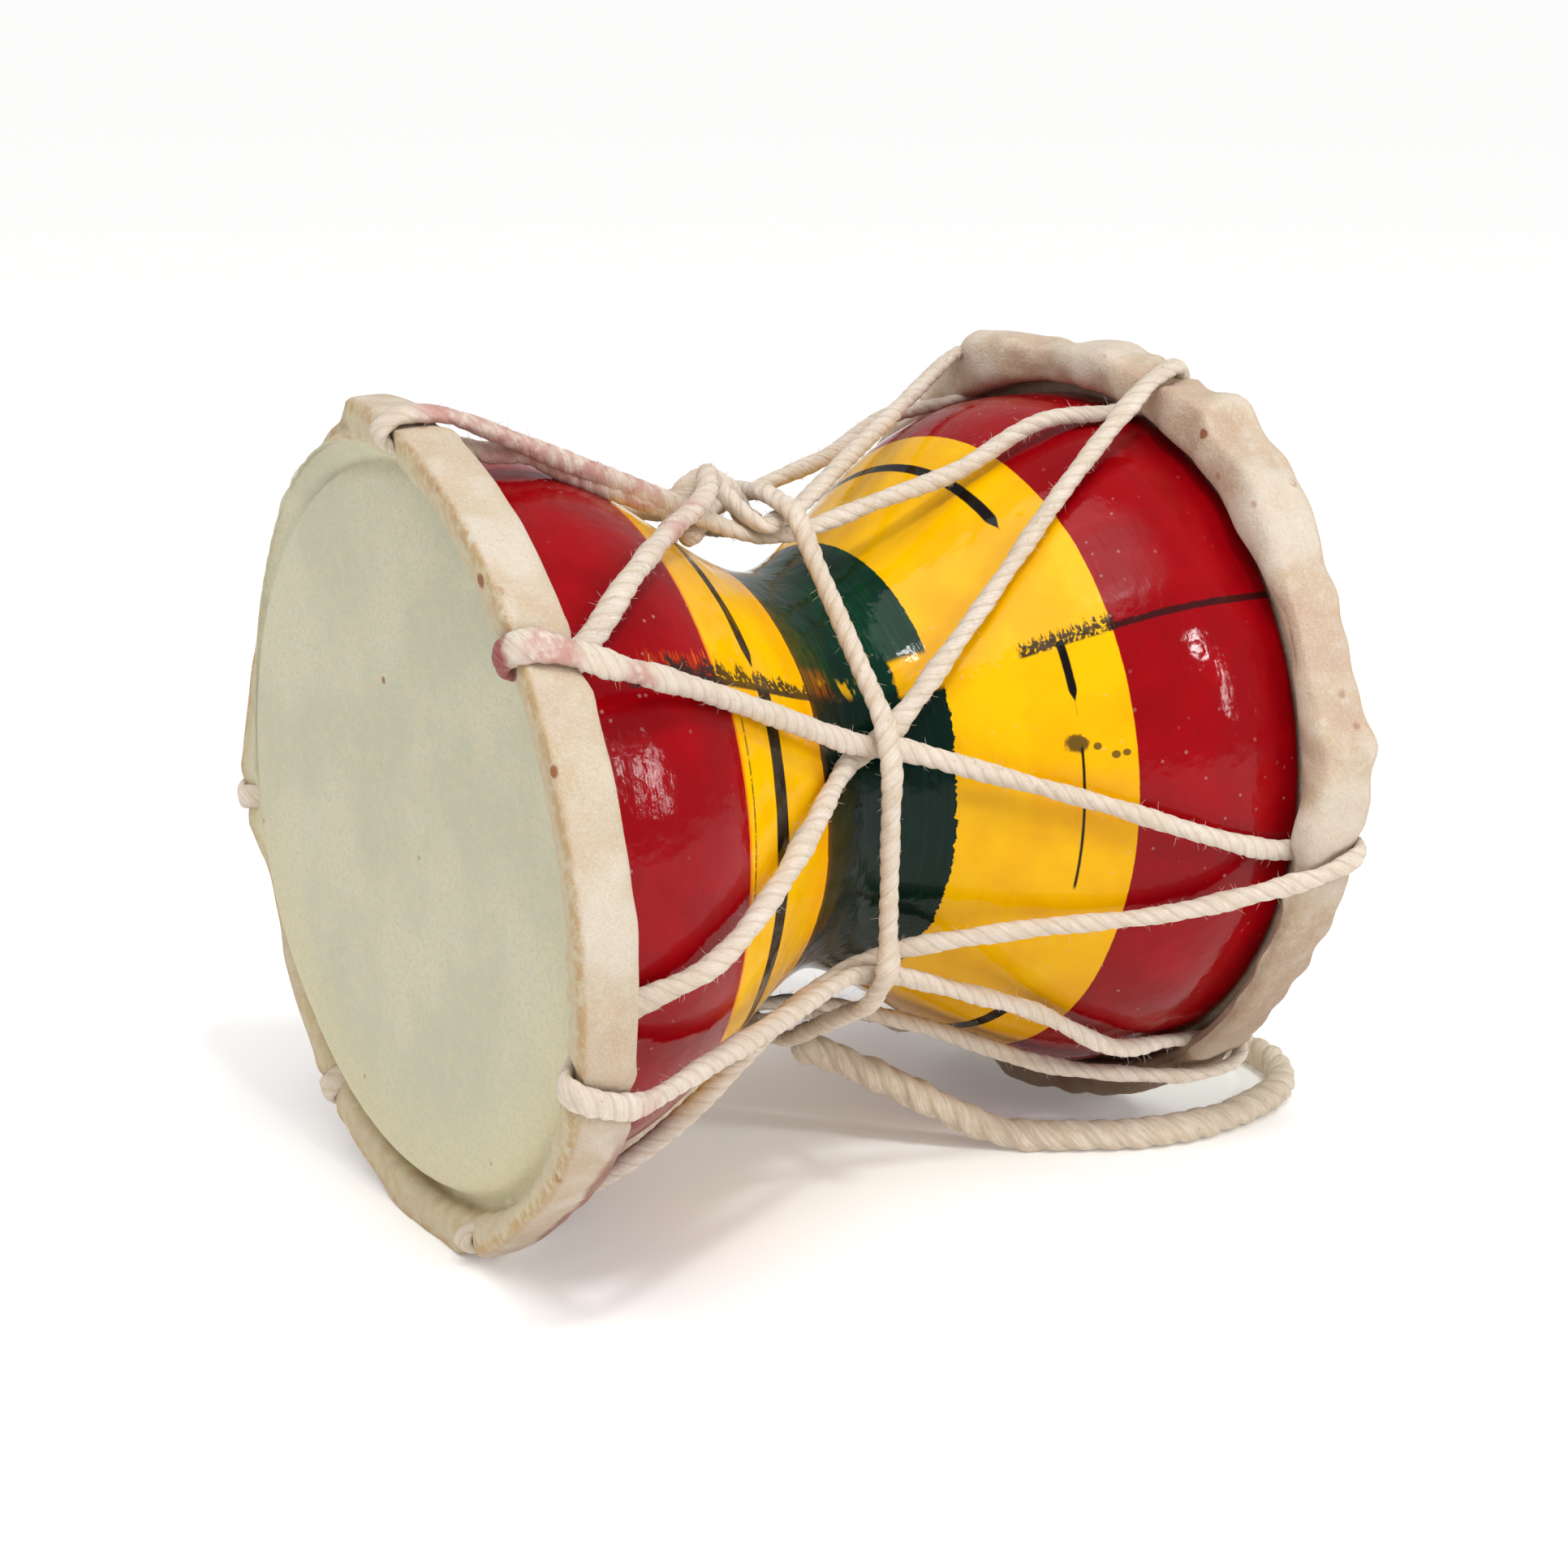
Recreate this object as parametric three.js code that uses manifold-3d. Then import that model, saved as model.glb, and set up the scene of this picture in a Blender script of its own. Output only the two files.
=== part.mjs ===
import * as THREE from 'three';
import { mergeVertices } from 'three/addons/utils/BufferGeometryUtils.js';
import Module from 'manifold-3d';

const wasm = await Module();
wasm.setup();

// Driving dimensions in millimetres. The drum lies on its side, its axis along X, Z up, floor at zero.
const HOOP_OUTER_R = 60;
const HOOP_THICK = 6;
const HOOP_INNER_R = HOOP_OUTER_R - HOOP_THICK;
const HOOP_ROUND = 1.6;
const FLAT_DEPTH = 0.4;
const AXIS_Z = HOOP_OUTER_R - FLAT_DEPTH;
const AXIS_Y = -0.04;
const WAIST_X = 1.46;
const GAP = 0.3;

// Turned wooden body: two convex bells, hollow all the way through the waist.
const BODY_HALF = 58;
const WAIST_R = 29.8;
const FRONT_BELL_GAP = 3.6;
const BACK_BELL_GAP = 1.8;
const FRONT_BELL_R = HOOP_INNER_R - FRONT_BELL_GAP;
const BACK_BELL_R = HOOP_INNER_R - BACK_BELL_GAP;
const BELL_RUN = 48;
const BELL_POWER = 1.8;
const MOUTH_WALL = 4.5;
const WAIST_WALL = 11.8;
const PASSAGE_R = WAIST_R - WAIST_WALL;
const AROUND = 36;
const OUTER_STEPS = 14;
const INNER_STEPS = 8;

// Skin heads, each lapped over its hoop. Distances run outward from the waist.
const SKIN = 1.1;
const FRONT_HOOP_LAP = 3.9;
const FRONT_HOOP_WIDTH = 8.8;
const BACK_HOOP_LAP = 6.7;
const BACK_HOOP_WIDTH = 9.8;
const FRONT_HOOP_REAR = BODY_HALF - FRONT_HOOP_LAP;
const FRONT_HOOP_RIM = FRONT_HOOP_REAR + FRONT_HOOP_WIDTH;
const BACK_HOOP_REAR = BODY_HALF - BACK_HOOP_LAP;
const BACK_HOOP_RIM = BACK_HOOP_REAR + BACK_HOOP_WIDTH;
const FRONT_LEAN_NEAR = 3.4;
const FRONT_LEAN_TOP = 4.2;
const BACK_LEAN_NEAR = 4.2;
const BACK_LEAN_TOP = 0.4;

// Lacing: one closed loop of soft cord through seven holes in each head.
const CORD_R = 1.8;
const LAP_HALF_WIDTH = 2.4;
const LAP_HALF_THICK = 1.3;
const CROSS_HALF_WIDTH = 2.1;
const CROSS_HALF_THICK = 1.05;
const LAP_STAND_OFF = 0.6;
const FOOT_PRESS = 1.6;
const FOOT_REACH = 24;
const LAP_LEAD = 2;
const HOLE_DEPTH = 4.5;
const HOLE_EDGE = 0.2;
const HOLE_SHIFT = 0.4;
const LAP_CORNER = 2.4;
const LAP_TURN = 1.8;
const LAP_TAIL = 1;
const LAP_FALL = 0.9;
const RUN_STATIONS = 2;
const LONG_RUN_STATIONS = 3;
const CROSS_FLAT = 3.4;
const BODY_CLEAR = 1.2;
const CORD_SIDES = 8;

const FRONT_HOLE_TOP = 13;
const FRONT_HOLE_NEAR_HIGH = 54;
const FRONT_HOLE_NEAR_LOW = 105;
const FRONT_HOLE_FOOT = 165;
const FRONT_HOLE_FAR_LOW = 214;
const FRONT_HOLE_FAR_MID = 262;
const FRONT_HOLE_FAR_HIGH = 318;
const FRONT_HOLES = [
  FRONT_HOLE_TOP, FRONT_HOLE_NEAR_HIGH, FRONT_HOLE_NEAR_LOW, FRONT_HOLE_FOOT,
  FRONT_HOLE_FAR_LOW, FRONT_HOLE_FAR_MID, FRONT_HOLE_FAR_HIGH,
];
const BACK_HOLE_TOP = 17;
const BACK_HOLE_NEAR_MID = 98.5;
const BACK_HOLE_NEAR_LOW = 142;
const BACK_HOLE_FOOT = 200;
const BACK_HOLE_FAR_LOW = 244;
const BACK_HOLE_FAR_MID = 289;
const BACK_HOLE_FAR_HIGH = 335;
const BACK_HOLES = [
  BACK_HOLE_TOP, BACK_HOLE_NEAR_MID, BACK_HOLE_NEAR_LOW, BACK_HOLE_FOOT,
  BACK_HOLE_FAR_LOW, BACK_HOLE_FAR_MID, BACK_HOLE_FAR_HIGH,
];

// Crossings, each with its distance from the waist, angle from the top toward the viewer, and lift off it.
const CROSS_TOP = { u: -4.8, angle: 14, lift: 8.6 };
const CROSS_NEAR = { u: -3.4, angle: 71.8, lift: 2.7 };
const CROSS_LOW = { u: -2.6, angle: 127, lift: 6.2 };
const CROSS_FOOT = { u: -0.5, angle: 176, lift: 5.7 };
const CROSS_FAR_LOW = { u: -0.5, angle: 229, lift: 4.2 };
const CROSS_FAR = { u: -0.5, angle: 277, lift: 3.2 };
const CROSS_FAR_HIGH = { u: -0.5, angle: 328, lift: 6.2 };
const CROSSINGS = [
  CROSS_TOP, CROSS_NEAR, CROSS_LOW, CROSS_FOOT, CROSS_FAR_LOW, CROSS_FAR, CROSS_FAR_HIGH,
];

// Binding cord round the waist, with its knot.
const KNOT_OFFSET = 7.2;
const KNOT_ANGLE = 5;
const KNOT_LIFT = 13.8;
const KNOT_HALF_LENGTH = 6.4;
const KNOT_HALF_WIDTH = 4;
const RING_SPREAD = 5;
const FLOOR_SIZE = 400;
const FLOOR_DEPTH = 40;

// Free striker cord and the knot at its end.
const STRIKER_D = 4.8;
const STRIKER_SIDES = 10;
const STRIKER_STEPS = 18;
const STRIKER_KNOT_R = 6.5;
const STRIKER_KNOT_FLAT = 0.3;

const COLOURS = { wood: 0x8f1018, skin: 0xd6cfb2, cord: 0xe6dcc8, striker: 0xdccdb4 };

const DEG = Math.PI / 180;

function polar(u, r, angle) {
  const a = angle * DEG;
  return new THREE.Vector3(WAIST_X + u, AXIS_Y - r * Math.sin(a), AXIS_Z + r * Math.cos(a));
}

function along(angle) {
  return new THREE.Vector3(0, -Math.cos(angle * DEG), -Math.sin(angle * DEG));
}

function angleOf(p) {
  return Math.atan2(AXIS_Y - p.y, p.z - AXIS_Z) / DEG;
}

function nearest(angle, reference) {
  return angle + 360 * Math.round((reference - angle) / 360);
}

function smooth(from, to, value) {
  const t = Math.min(1, Math.max(0, (value - from) / (to - from)));
  return t * t * (3 - 2 * t);
}

// Share of the rise from waist to bell at a distance from the waist.
function rise(u) {
  return Math.sin(0.5 * Math.PI * Math.min(1, Math.abs(u) / BELL_RUN)) ** BELL_POWER;
}

function bell(u) {
  return u < 0 ? FRONT_BELL_R : BACK_BELL_R;
}

function outerRadius(u) {
  return WAIST_R + (bell(u) - WAIST_R) * rise(u);
}

function innerRadius(u) {
  return PASSAGE_R + (bell(u) - MOUTH_WALL - PASSAGE_R) * rise(u);
}

function signedVolume(geometry) {
  const p = geometry.attributes.position;
  const index = geometry.index;
  const a = new THREE.Vector3();
  const b = new THREE.Vector3();
  const c = new THREE.Vector3();
  let total = 0;
  for (let i = 0; i < index.count; i += 3) {
    a.fromBufferAttribute(p, index.getX(i));
    b.fromBufferAttribute(p, index.getX(i + 1));
    c.fromBufferAttribute(p, index.getX(i + 2));
    total += a.dot(b.cross(c)) / 6;
  }
  return total;
}

// Merged copy of a geometry whose faces look outward.
function outward(source) {
  source.deleteAttribute('normal');
  source.deleteAttribute('uv');
  const geometry = mergeVertices(source, 1e-4);
  const kept = [];
  const index = geometry.index;
  const flip = signedVolume(geometry) < 0;
  for (let i = 0; i < index.count; i += 3) {
    const a = index.getX(i);
    const b = index.getX(i + 1);
    const c = index.getX(i + 2);
    if (a !== b && b !== c && c !== a) kept.push(a, flip ? c : b, flip ? b : c);
  }
  geometry.setIndex(kept);
  return geometry;
}

function toSolid(geometry) {
  return new wasm.Manifold(new wasm.Mesh({
    numProp: 3,
    vertProperties: new Float32Array(geometry.attributes.position.array),
    triVerts: new Uint32Array(geometry.index.array),
  }));
}

function fromSolid(solid) {
  const mesh = solid.getMesh();
  const geometry = new THREE.BufferGeometry();
  geometry.setAttribute('position', new THREE.BufferAttribute(new Float32Array(mesh.vertProperties), 3));
  geometry.setIndex(new THREE.BufferAttribute(new Uint32Array(mesh.triVerts), 1));
  return geometry;
}

// Lathe turned about the drum's axis; move shifts a point's distance from the waist.
function turned(profile, direction, move) {
  const points = profile.map(([r, u]) => new THREE.Vector2(r, u));
  const geometry = new THREE.LatheGeometry(points, AROUND);
  const p = geometry.attributes.position;
  for (let i = 0; i < p.count; i += 1) {
    const y = -p.getX(i);
    const z = p.getZ(i);
    const u = p.getY(i) + move(Math.hypot(y, z), y, z);
    p.setXYZ(i, WAIST_X + direction * u, AXIS_Y + y, AXIS_Z + z);
  }
  return outward(geometry);
}

// Tube through stations that carry a centre, a sideways direction, a half width and a half thickness.
function sweep(stations, sides, closed) {
  const count = stations.length;
  const position = [];
  const index = [];
  for (let i = 0; i < count; i += 1) {
    const before = stations[closed ? (i + count - 1) % count : Math.max(0, i - 1)].p;
    const after = stations[closed ? (i + 1) % count : Math.min(count - 1, i + 1)].p;
    const here = stations[i];
    const inward = here.p.clone().sub(before);
    const leaving = after.clone().sub(here.p);
    if (inward.length() > 0) inward.normalize();
    if (leaving.length() > 0) leaving.normalize();
    const tangent = inward.add(leaving).normalize();
    const side = here.side.clone().addScaledVector(tangent, -here.side.dot(tangent)).normalize();
    const normal = tangent.clone().cross(side);
    for (let k = 0; k < sides; k += 1) {
      const turn = (2 * Math.PI * (k + 0.5)) / sides;
      const point = here.p.clone()
        .addScaledVector(side, here.wide * Math.cos(turn))
        .addScaledVector(normal, here.thick * Math.sin(turn));
      position.push(point.x, point.y, point.z);
    }
  }
  const rings = closed ? count : count - 1;
  for (let i = 0; i < rings; i += 1) {
    const next = (i + 1) % count;
    for (let k = 0; k < sides; k += 1) {
      const a = i * sides + k;
      const b = i * sides + ((k + 1) % sides);
      const c = next * sides + k;
      const d = next * sides + ((k + 1) % sides);
      index.push(a, b, d, a, d, c);
    }
  }
  if (!closed) {
    for (let k = 1; k < sides - 1; k += 1) {
      index.push(0, k + 1, k);
      const last = (count - 1) * sides;
      index.push(last, last + k, last + k + 1);
    }
  }
  const geometry = new THREE.BufferGeometry();
  geometry.setAttribute('position', new THREE.Float32BufferAttribute(position, 3));
  geometry.setIndex(index);
  return outward(geometry);
}

function station(p, side, wide, thick) {
  return { p, side, wide, thick };
}

const FRONT = {
  direction: -1, bellR: FRONT_BELL_R, rear: FRONT_HOOP_REAR, rim: FRONT_HOOP_RIM,
  leanNear: FRONT_LEAN_NEAR, leanTop: FRONT_LEAN_TOP,
};
const BACK = {
  direction: 1, bellR: BACK_BELL_R, rear: BACK_HOOP_REAR, rim: BACK_HOOP_RIM,
  leanNear: BACK_LEAN_NEAR, leanTop: BACK_LEAN_TOP,
};

// How far a slightly askew hoop stands outward at a place beside the axis.
function lean(end, y, z) {
  return (-end.leanNear * y + end.leanTop * z) / HOOP_OUTER_R;
}

function leanAt(end, angle) {
  return lean(end, -HOOP_OUTER_R * Math.sin(angle * DEG), HOOP_OUTER_R * Math.cos(angle * DEG));
}

// The cord's way at one hole: out along the body, through the skin, over the rim and back outside the hoop.
function lap(end, angle, extra) {
  const under = end.bellR + GAP + LAP_HALF_THICK;
  const foot = Math.abs(angle - 180) < FOOT_REACH;
  const over = HOOP_OUTER_R + LAP_STAND_OFF - (foot ? FOOT_PRESS : 0);
  const shift = leanAt(end, angle);
  const side = along(angle);
  const way = [
    [end.rear - LAP_LEAD, under], [end.rim - HOLE_DEPTH, under], [end.rim - HOLE_EDGE, under + HOLE_SHIFT],
    [end.rim + LAP_STAND_OFF, under + LAP_CORNER], [end.rim + LAP_STAND_OFF, over - LAP_CORNER],
    [end.rim - LAP_TURN, over], [end.rear + LAP_TAIL, over], [end.rear - LAP_LEAD, over - LAP_FALL],
  ];
  return way.map(([u, r]) => station(
    polar(end.direction * (u + shift), r, angle), side, LAP_HALF_WIDTH + extra, LAP_HALF_THICK + extra,
  ));
}

// Straight run between two stations, lifted where it would cut into the body.
function run(from, to, count) {
  const out = [];
  for (let k = 1; k <= count; k += 1) {
    const p = from.p.clone().lerp(to.p, k / (count + 1));
    const u = p.x - WAIST_X;
    const angle = angleOf(p);
    const r = Math.hypot(p.y - AXIS_Y, p.z - AXIS_Z);
    const clear = outerRadius(u) + CORD_R + BODY_CLEAR;
    out.push(station(polar(u, Math.max(r, clear), angle), along(angle), CORD_R, CORD_R));
  }
  return out;
}

// Flattened stretch of a line where it is bound at a crossing.
function bound(crossing, slope, above, heading) {
  const r = WAIST_R + crossing.lift + (above ? 2 * CROSS_HALF_THICK + GAP : 0);
  return [-heading, 0, heading].map((step) => {
    const angle = crossing.angle + slope * step * CROSS_FLAT;
    return station(
      polar(crossing.u + step * CROSS_FLAT, r, angle), along(angle), CROSS_HALF_WIDTH, CROSS_HALF_THICK,
    );
  });
}

function lacing() {
  const count = FRONT_HOLES.length;
  const stations = [];
  let hole = 0;
  for (let n = 0; n < count; n += 1) {
    const out = CROSSINGS[hole];
    const frontAngle = nearest(FRONT_HOLES[hole], out.angle);
    const backAngle = nearest(BACK_HOLES[hole], out.angle);
    const slopeOut = (backAngle - frontAngle) / (2 * BODY_HALF);
    const start = lap(FRONT, FRONT_HOLES[hole], 0);
    const far = lap(BACK, BACK_HOLES[hole], 0);
    const first = bound(out, slopeOut, true, 1);
    stations.push(...start, ...run(start[7], first[0], RUN_STATIONS), ...first, ...run(first[2], far[0], LONG_RUN_STATIONS), ...far);

    const back = CROSSINGS[(hole + 1) % count];
    const next = (hole + 2) % count;
    const leaving = nearest(BACK_HOLES[hole], back.angle);
    const arriving = nearest(FRONT_HOLES[next], back.angle);
    const slopeBack = (leaving - arriving) / (2 * BODY_HALF);
    const second = bound(back, slopeBack, false, -1);
    const home = lap(FRONT, FRONT_HOLES[next], 0);
    stations.push(...run(far[7], second[0], RUN_STATIONS), ...second, ...run(second[2], home[0], LONG_RUN_STATIONS));
    hole = next;
  }
  return sweep(stations, CORD_SIDES, true);
}

function lapCutter(end, angle) {
  const stations = lap(end, angle, GAP);
  const first = stations[0];
  const last = stations[stations.length - 1];
  first.p.x -= end.direction * 6;
  last.p.x -= end.direction * 1.5;
  return toSolid(sweep(stations, CORD_SIDES, false));
}

function head(end, holes, floorBlock) {
  const seat = end.bellR + GAP;
  const inside = BODY_HALF + GAP;
  const face = inside + SKIN;
  const profile = [
    [0, inside], [seat, inside], [HOOP_INNER_R, inside],
    [HOOP_INNER_R, end.rear + HOOP_ROUND], [HOOP_INNER_R + HOOP_ROUND, end.rear],
    [HOOP_OUTER_R - HOOP_ROUND, end.rear], [HOOP_OUTER_R, end.rear + HOOP_ROUND],
    [HOOP_OUTER_R, end.rim - HOOP_ROUND], [HOOP_OUTER_R - HOOP_ROUND, end.rim],
    [HOOP_INNER_R + HOOP_ROUND, end.rim], [HOOP_INNER_R, end.rim - HOOP_ROUND],
    [seat, face], [0, face],
  ];
  const move = (r, y, z) => smooth(seat, HOOP_INNER_R, r) * lean(end, y, z);
  let solid = toSolid(turned(profile, end.direction, move));
  holes.forEach((angle) => { solid = solid.subtract(lapCutter(end, angle)); });
  return fromSolid(solid.subtract(floorBlock));
}

function body() {
  const profile = [];
  for (let k = 0; k <= OUTER_STEPS; k += 1) {
    const u = BODY_HALF * ((2 * k) / OUTER_STEPS - 1);
    profile.push([outerRadius(u), u]);
  }
  for (let k = INNER_STEPS; k >= 0; k -= 1) {
    const u = BODY_HALF * ((2 * k) / INNER_STEPS - 1);
    profile.push([innerRadius(u), u]);
  }
  profile.push(profile[0]);
  return turned(profile, 1, () => 0);
}

// Binding cord: over each crossing, and straight or laid on the waist between them.
function waistCord() {
  const over = 3 * CROSS_HALF_THICK + 2 * GAP + LAP_HALF_THICK;
  const side = new THREE.Vector3(1, 0, 0);
  const stations = [];
  CROSSINGS.forEach((crossing, i) => {
    const next = CROSSINGS[(i + 1) % CROSSINGS.length];
    const place = (c, angle) => station(polar(c.u, WAIST_R + c.lift + over, angle), side, CROSS_HALF_WIDTH, LAP_HALF_THICK);
    const leave = place(crossing, crossing.angle + RING_SPREAD);
    const reach = place(next, next.angle - RING_SPREAD);
    stations.push(place(crossing, crossing.angle), leave);
    run(leave, reach, LONG_RUN_STATIONS).forEach((s) => stations.push(station(s.p, side, CORD_R, CORD_R)));
    stations.push(reach);
  });
  const ring = toSolid(sweep(stations, CORD_SIDES, true));
  const lump = new THREE.SphereGeometry(1, 12, 8);
  lump.scale(KNOT_HALF_LENGTH, KNOT_HALF_WIDTH, KNOT_HALF_WIDTH);
  const centre = polar(CROSS_TOP.u - KNOT_OFFSET, WAIST_R + KNOT_LIFT, KNOT_ANGLE);
  lump.translate(centre.x, centre.y, centre.z);
  return fromSolid(ring.add(toSolid(outward(lump))));
}

// Route of the striker cord's centre, chosen by hand from the photograph.
function strikerRoute() {
  const lay = STRIKER_D / 2 + 0.05;
  return [
    new THREE.Vector3(4.3, -2.0, 16.8),
    new THREE.Vector3(8.3, -4.4, 15.4),
    new THREE.Vector3(12.7, -7.2, 13.2),
    new THREE.Vector3(17.7, -10.4, 10.4),
    new THREE.Vector3(23.5, -14.4, 6.8),
    new THREE.Vector3(28.7, -18.3, 3.8),
    new THREE.Vector3(33.3, -21.7, lay),
    new THREE.Vector3(39.9, -26.3, lay),
    new THREE.Vector3(48.9, -31.1, lay),
    new THREE.Vector3(59.9, -33.1, lay),
    new THREE.Vector3(71.9, -31.3, lay),
    new THREE.Vector3(81.9, -26.5, lay),
    new THREE.Vector3(87.9, -18.5, lay),
    new THREE.Vector3(89.5, -7.9, lay),
    new THREE.Vector3(87.5, 3.1, lay),
    new THREE.Vector3(82.9, 13.1, lay),
  ];
}

function strikerCord() {
  const section = new THREE.Shape();
  for (let k = 0; k < STRIKER_SIDES; k += 1) {
    const turn = (2 * Math.PI * (k + 0.5)) / STRIKER_SIDES;
    const x = 0.5 * STRIKER_D * Math.cos(turn);
    const y = 0.5 * STRIKER_D * Math.sin(turn);
    if (k === 0) section.moveTo(x, y);
    else section.lineTo(x, y);
  }
  section.closePath();
  const path = new THREE.CatmullRomCurve3(strikerRoute(), false, 'centripetal');
  const geometry = new THREE.ExtrudeGeometry(section, { steps: STRIKER_STEPS, extrudePath: path });
  return outward(geometry);
}

function strikerKnot(floorBlock) {
  const route = strikerRoute();
  const end = route[route.length - 1];
  const heading = end.clone().sub(route[route.length - 2]).normalize();
  const centre = end.clone().addScaledVector(heading, STRIKER_KNOT_R + GAP);
  centre.z = STRIKER_KNOT_R - STRIKER_KNOT_FLAT;
  const ball = new THREE.SphereGeometry(STRIKER_KNOT_R, 14, 9);
  ball.translate(centre.x, centre.y, centre.z);
  return fromSolid(toSolid(outward(ball)).subtract(floorBlock));
}

function named(name, geometry, colour, roughness) {
  const material = new THREE.MeshStandardMaterial({ color: colour, roughness, metalness: 0 });
  const mesh = new THREE.Mesh(geometry, material);
  mesh.name = name;
  return mesh;
}

const slab = new THREE.BoxGeometry(FLOOR_SIZE, FLOOR_SIZE, FLOOR_DEPTH);
slab.translate(0, 0, -FLOOR_DEPTH / 2);
const floorBlock = toSolid(outward(slab));

const drum = new THREE.Group();
drum.name = 'damaru_drum';
drum.add(named('body', body(), COLOURS.wood, 0.3));
drum.add(named('front_head', head(FRONT, FRONT_HOLES, floorBlock), COLOURS.skin, 0.7));
drum.add(named('back_head', head(BACK, BACK_HOLES, floorBlock), COLOURS.skin, 0.7));
drum.add(named('lacing', lacing(), COLOURS.cord, 0.9));
drum.add(named('waist_cord', waistCord(), COLOURS.cord, 0.9));
drum.add(named('striker_cord', strikerCord(), COLOURS.striker, 0.9));
drum.add(named('striker_knot', strikerKnot(floorBlock), COLOURS.striker, 0.9));

export default drum;
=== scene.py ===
"""Damaru drum lying on its two hoops: its looks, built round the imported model.

Sizes are in millimetres unless a name ends in _m or _M, and every mesh is written in metres.
Angles run round the drum's axis in degrees, from the top toward the viewer.
"""

import logging
from dataclasses import dataclass, field, replace
from enum import Enum

import bpy
import numpy as np
from mathutils import Matrix


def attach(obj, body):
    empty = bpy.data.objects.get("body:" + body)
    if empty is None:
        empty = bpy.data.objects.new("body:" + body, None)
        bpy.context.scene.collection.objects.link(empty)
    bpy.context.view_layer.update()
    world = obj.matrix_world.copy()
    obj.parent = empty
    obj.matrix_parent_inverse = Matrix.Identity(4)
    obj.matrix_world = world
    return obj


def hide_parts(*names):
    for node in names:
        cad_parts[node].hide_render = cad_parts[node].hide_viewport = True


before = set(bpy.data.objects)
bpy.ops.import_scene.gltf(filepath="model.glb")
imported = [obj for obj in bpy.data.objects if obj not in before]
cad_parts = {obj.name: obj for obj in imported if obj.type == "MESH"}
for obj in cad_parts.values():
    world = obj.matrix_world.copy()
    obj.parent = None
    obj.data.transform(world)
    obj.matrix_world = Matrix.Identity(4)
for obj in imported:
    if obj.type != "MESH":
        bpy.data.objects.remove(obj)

log = logging.getLogger("damaru")

MM = 0.001


class Slot(Enum):
    """The record's material slots."""

    BODY = "body"
    FRONT_HEAD = "front_head"
    BACK_HEAD = "back_head"
    LACING = "lacing"
    WAIST_CORD = "waist_cord"
    STRIKER_CORD = "striker_cord"
    STRIKER_KNOT = "striker_knot"


def tone(red: float, green: float, blue: float) -> tuple[float, float, float, float]:
    """Linear colour of a screen colour.

    Args:
        red: Red from 0 to 255.
        green: Green from 0 to 255.
        blue: Blue from 0 to 255.

    Returns:
        Linear red, green, blue and an alpha of one.
    """
    screen = np.array([red, green, blue]) / 255
    linear = np.where(screen <= 0.04045, screen / 12.92, ((screen + 0.055) / 1.055) ** 2.4)
    return (*[float(value) for value in linear], 1.0)


def ease(start: float, end: float, value: np.ndarray) -> np.ndarray:
    """Smooth step: 0 before start, 1 after end, and t squared times (3 - 2t) between them."""
    share = np.clip((value - start) / (end - start), 0, 1)
    return share * share * (3 - 2 * share)


def unit(vectors: np.ndarray) -> np.ndarray:
    """The vectors divided by their lengths."""
    return vectors / np.maximum(np.linalg.norm(vectors, axis=-1, keepdims=True), 1e-9)


def eased_round(places: tuple[tuple[float, float], ...], angle: np.ndarray) -> np.ndarray:
    """Size at an angle, drawn straight between places round a circle and then smoothed.

    Args:
        places: Angle in degrees and size of each place, in rising order.
        angle: Where the size is wanted.

    Returns:
        The size, averaged with a bell-shaped weight about 2.6 degrees wide.
    """
    fine = np.arange(0.0, 360.0, 1.0)
    angles, sizes = np.array(places).T
    rough = np.interp(fine, angles, sizes, period=360)
    spread = np.exp(-((np.minimum(fine, 360 - fine) / 2.6) ** 2))
    even = np.real(np.fft.ifft(np.fft.fft(rough) * np.fft.fft(spread / spread.sum())))
    return np.interp(angle, fine, even, period=360)


@dataclass(frozen=True)
class Ripple:
    """Smooth uneven field over an angle and a length, the same in each run.

    Attributes:
        seed: Start of the random numbers.
        waves: Number of waves added up.
        turns: Lowest and highest number of waves in one turn of the angle.
        reach: Longest number of radians that the phase moves per millimetre of length.
    """

    seed: int
    waves: int
    turns: tuple[int, int]
    reach: float

    def over(self, angle: np.ndarray, length: np.ndarray) -> np.ndarray:
        """Sum of cosines of (whole number times angle + rate times length + phase), about -1 to 1."""
        dice = np.random.default_rng(self.seed)
        total = np.zeros(np.broadcast(angle, length).shape)
        for _ in range(self.waves):
            turns = dice.integers(self.turns[0], self.turns[1] + 1)
            rate = dice.uniform(-self.reach, self.reach)
            total = total + np.cos(turns * angle + rate * length + dice.uniform(0, 2 * np.pi))
        return total / np.sqrt(self.waves)


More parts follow.
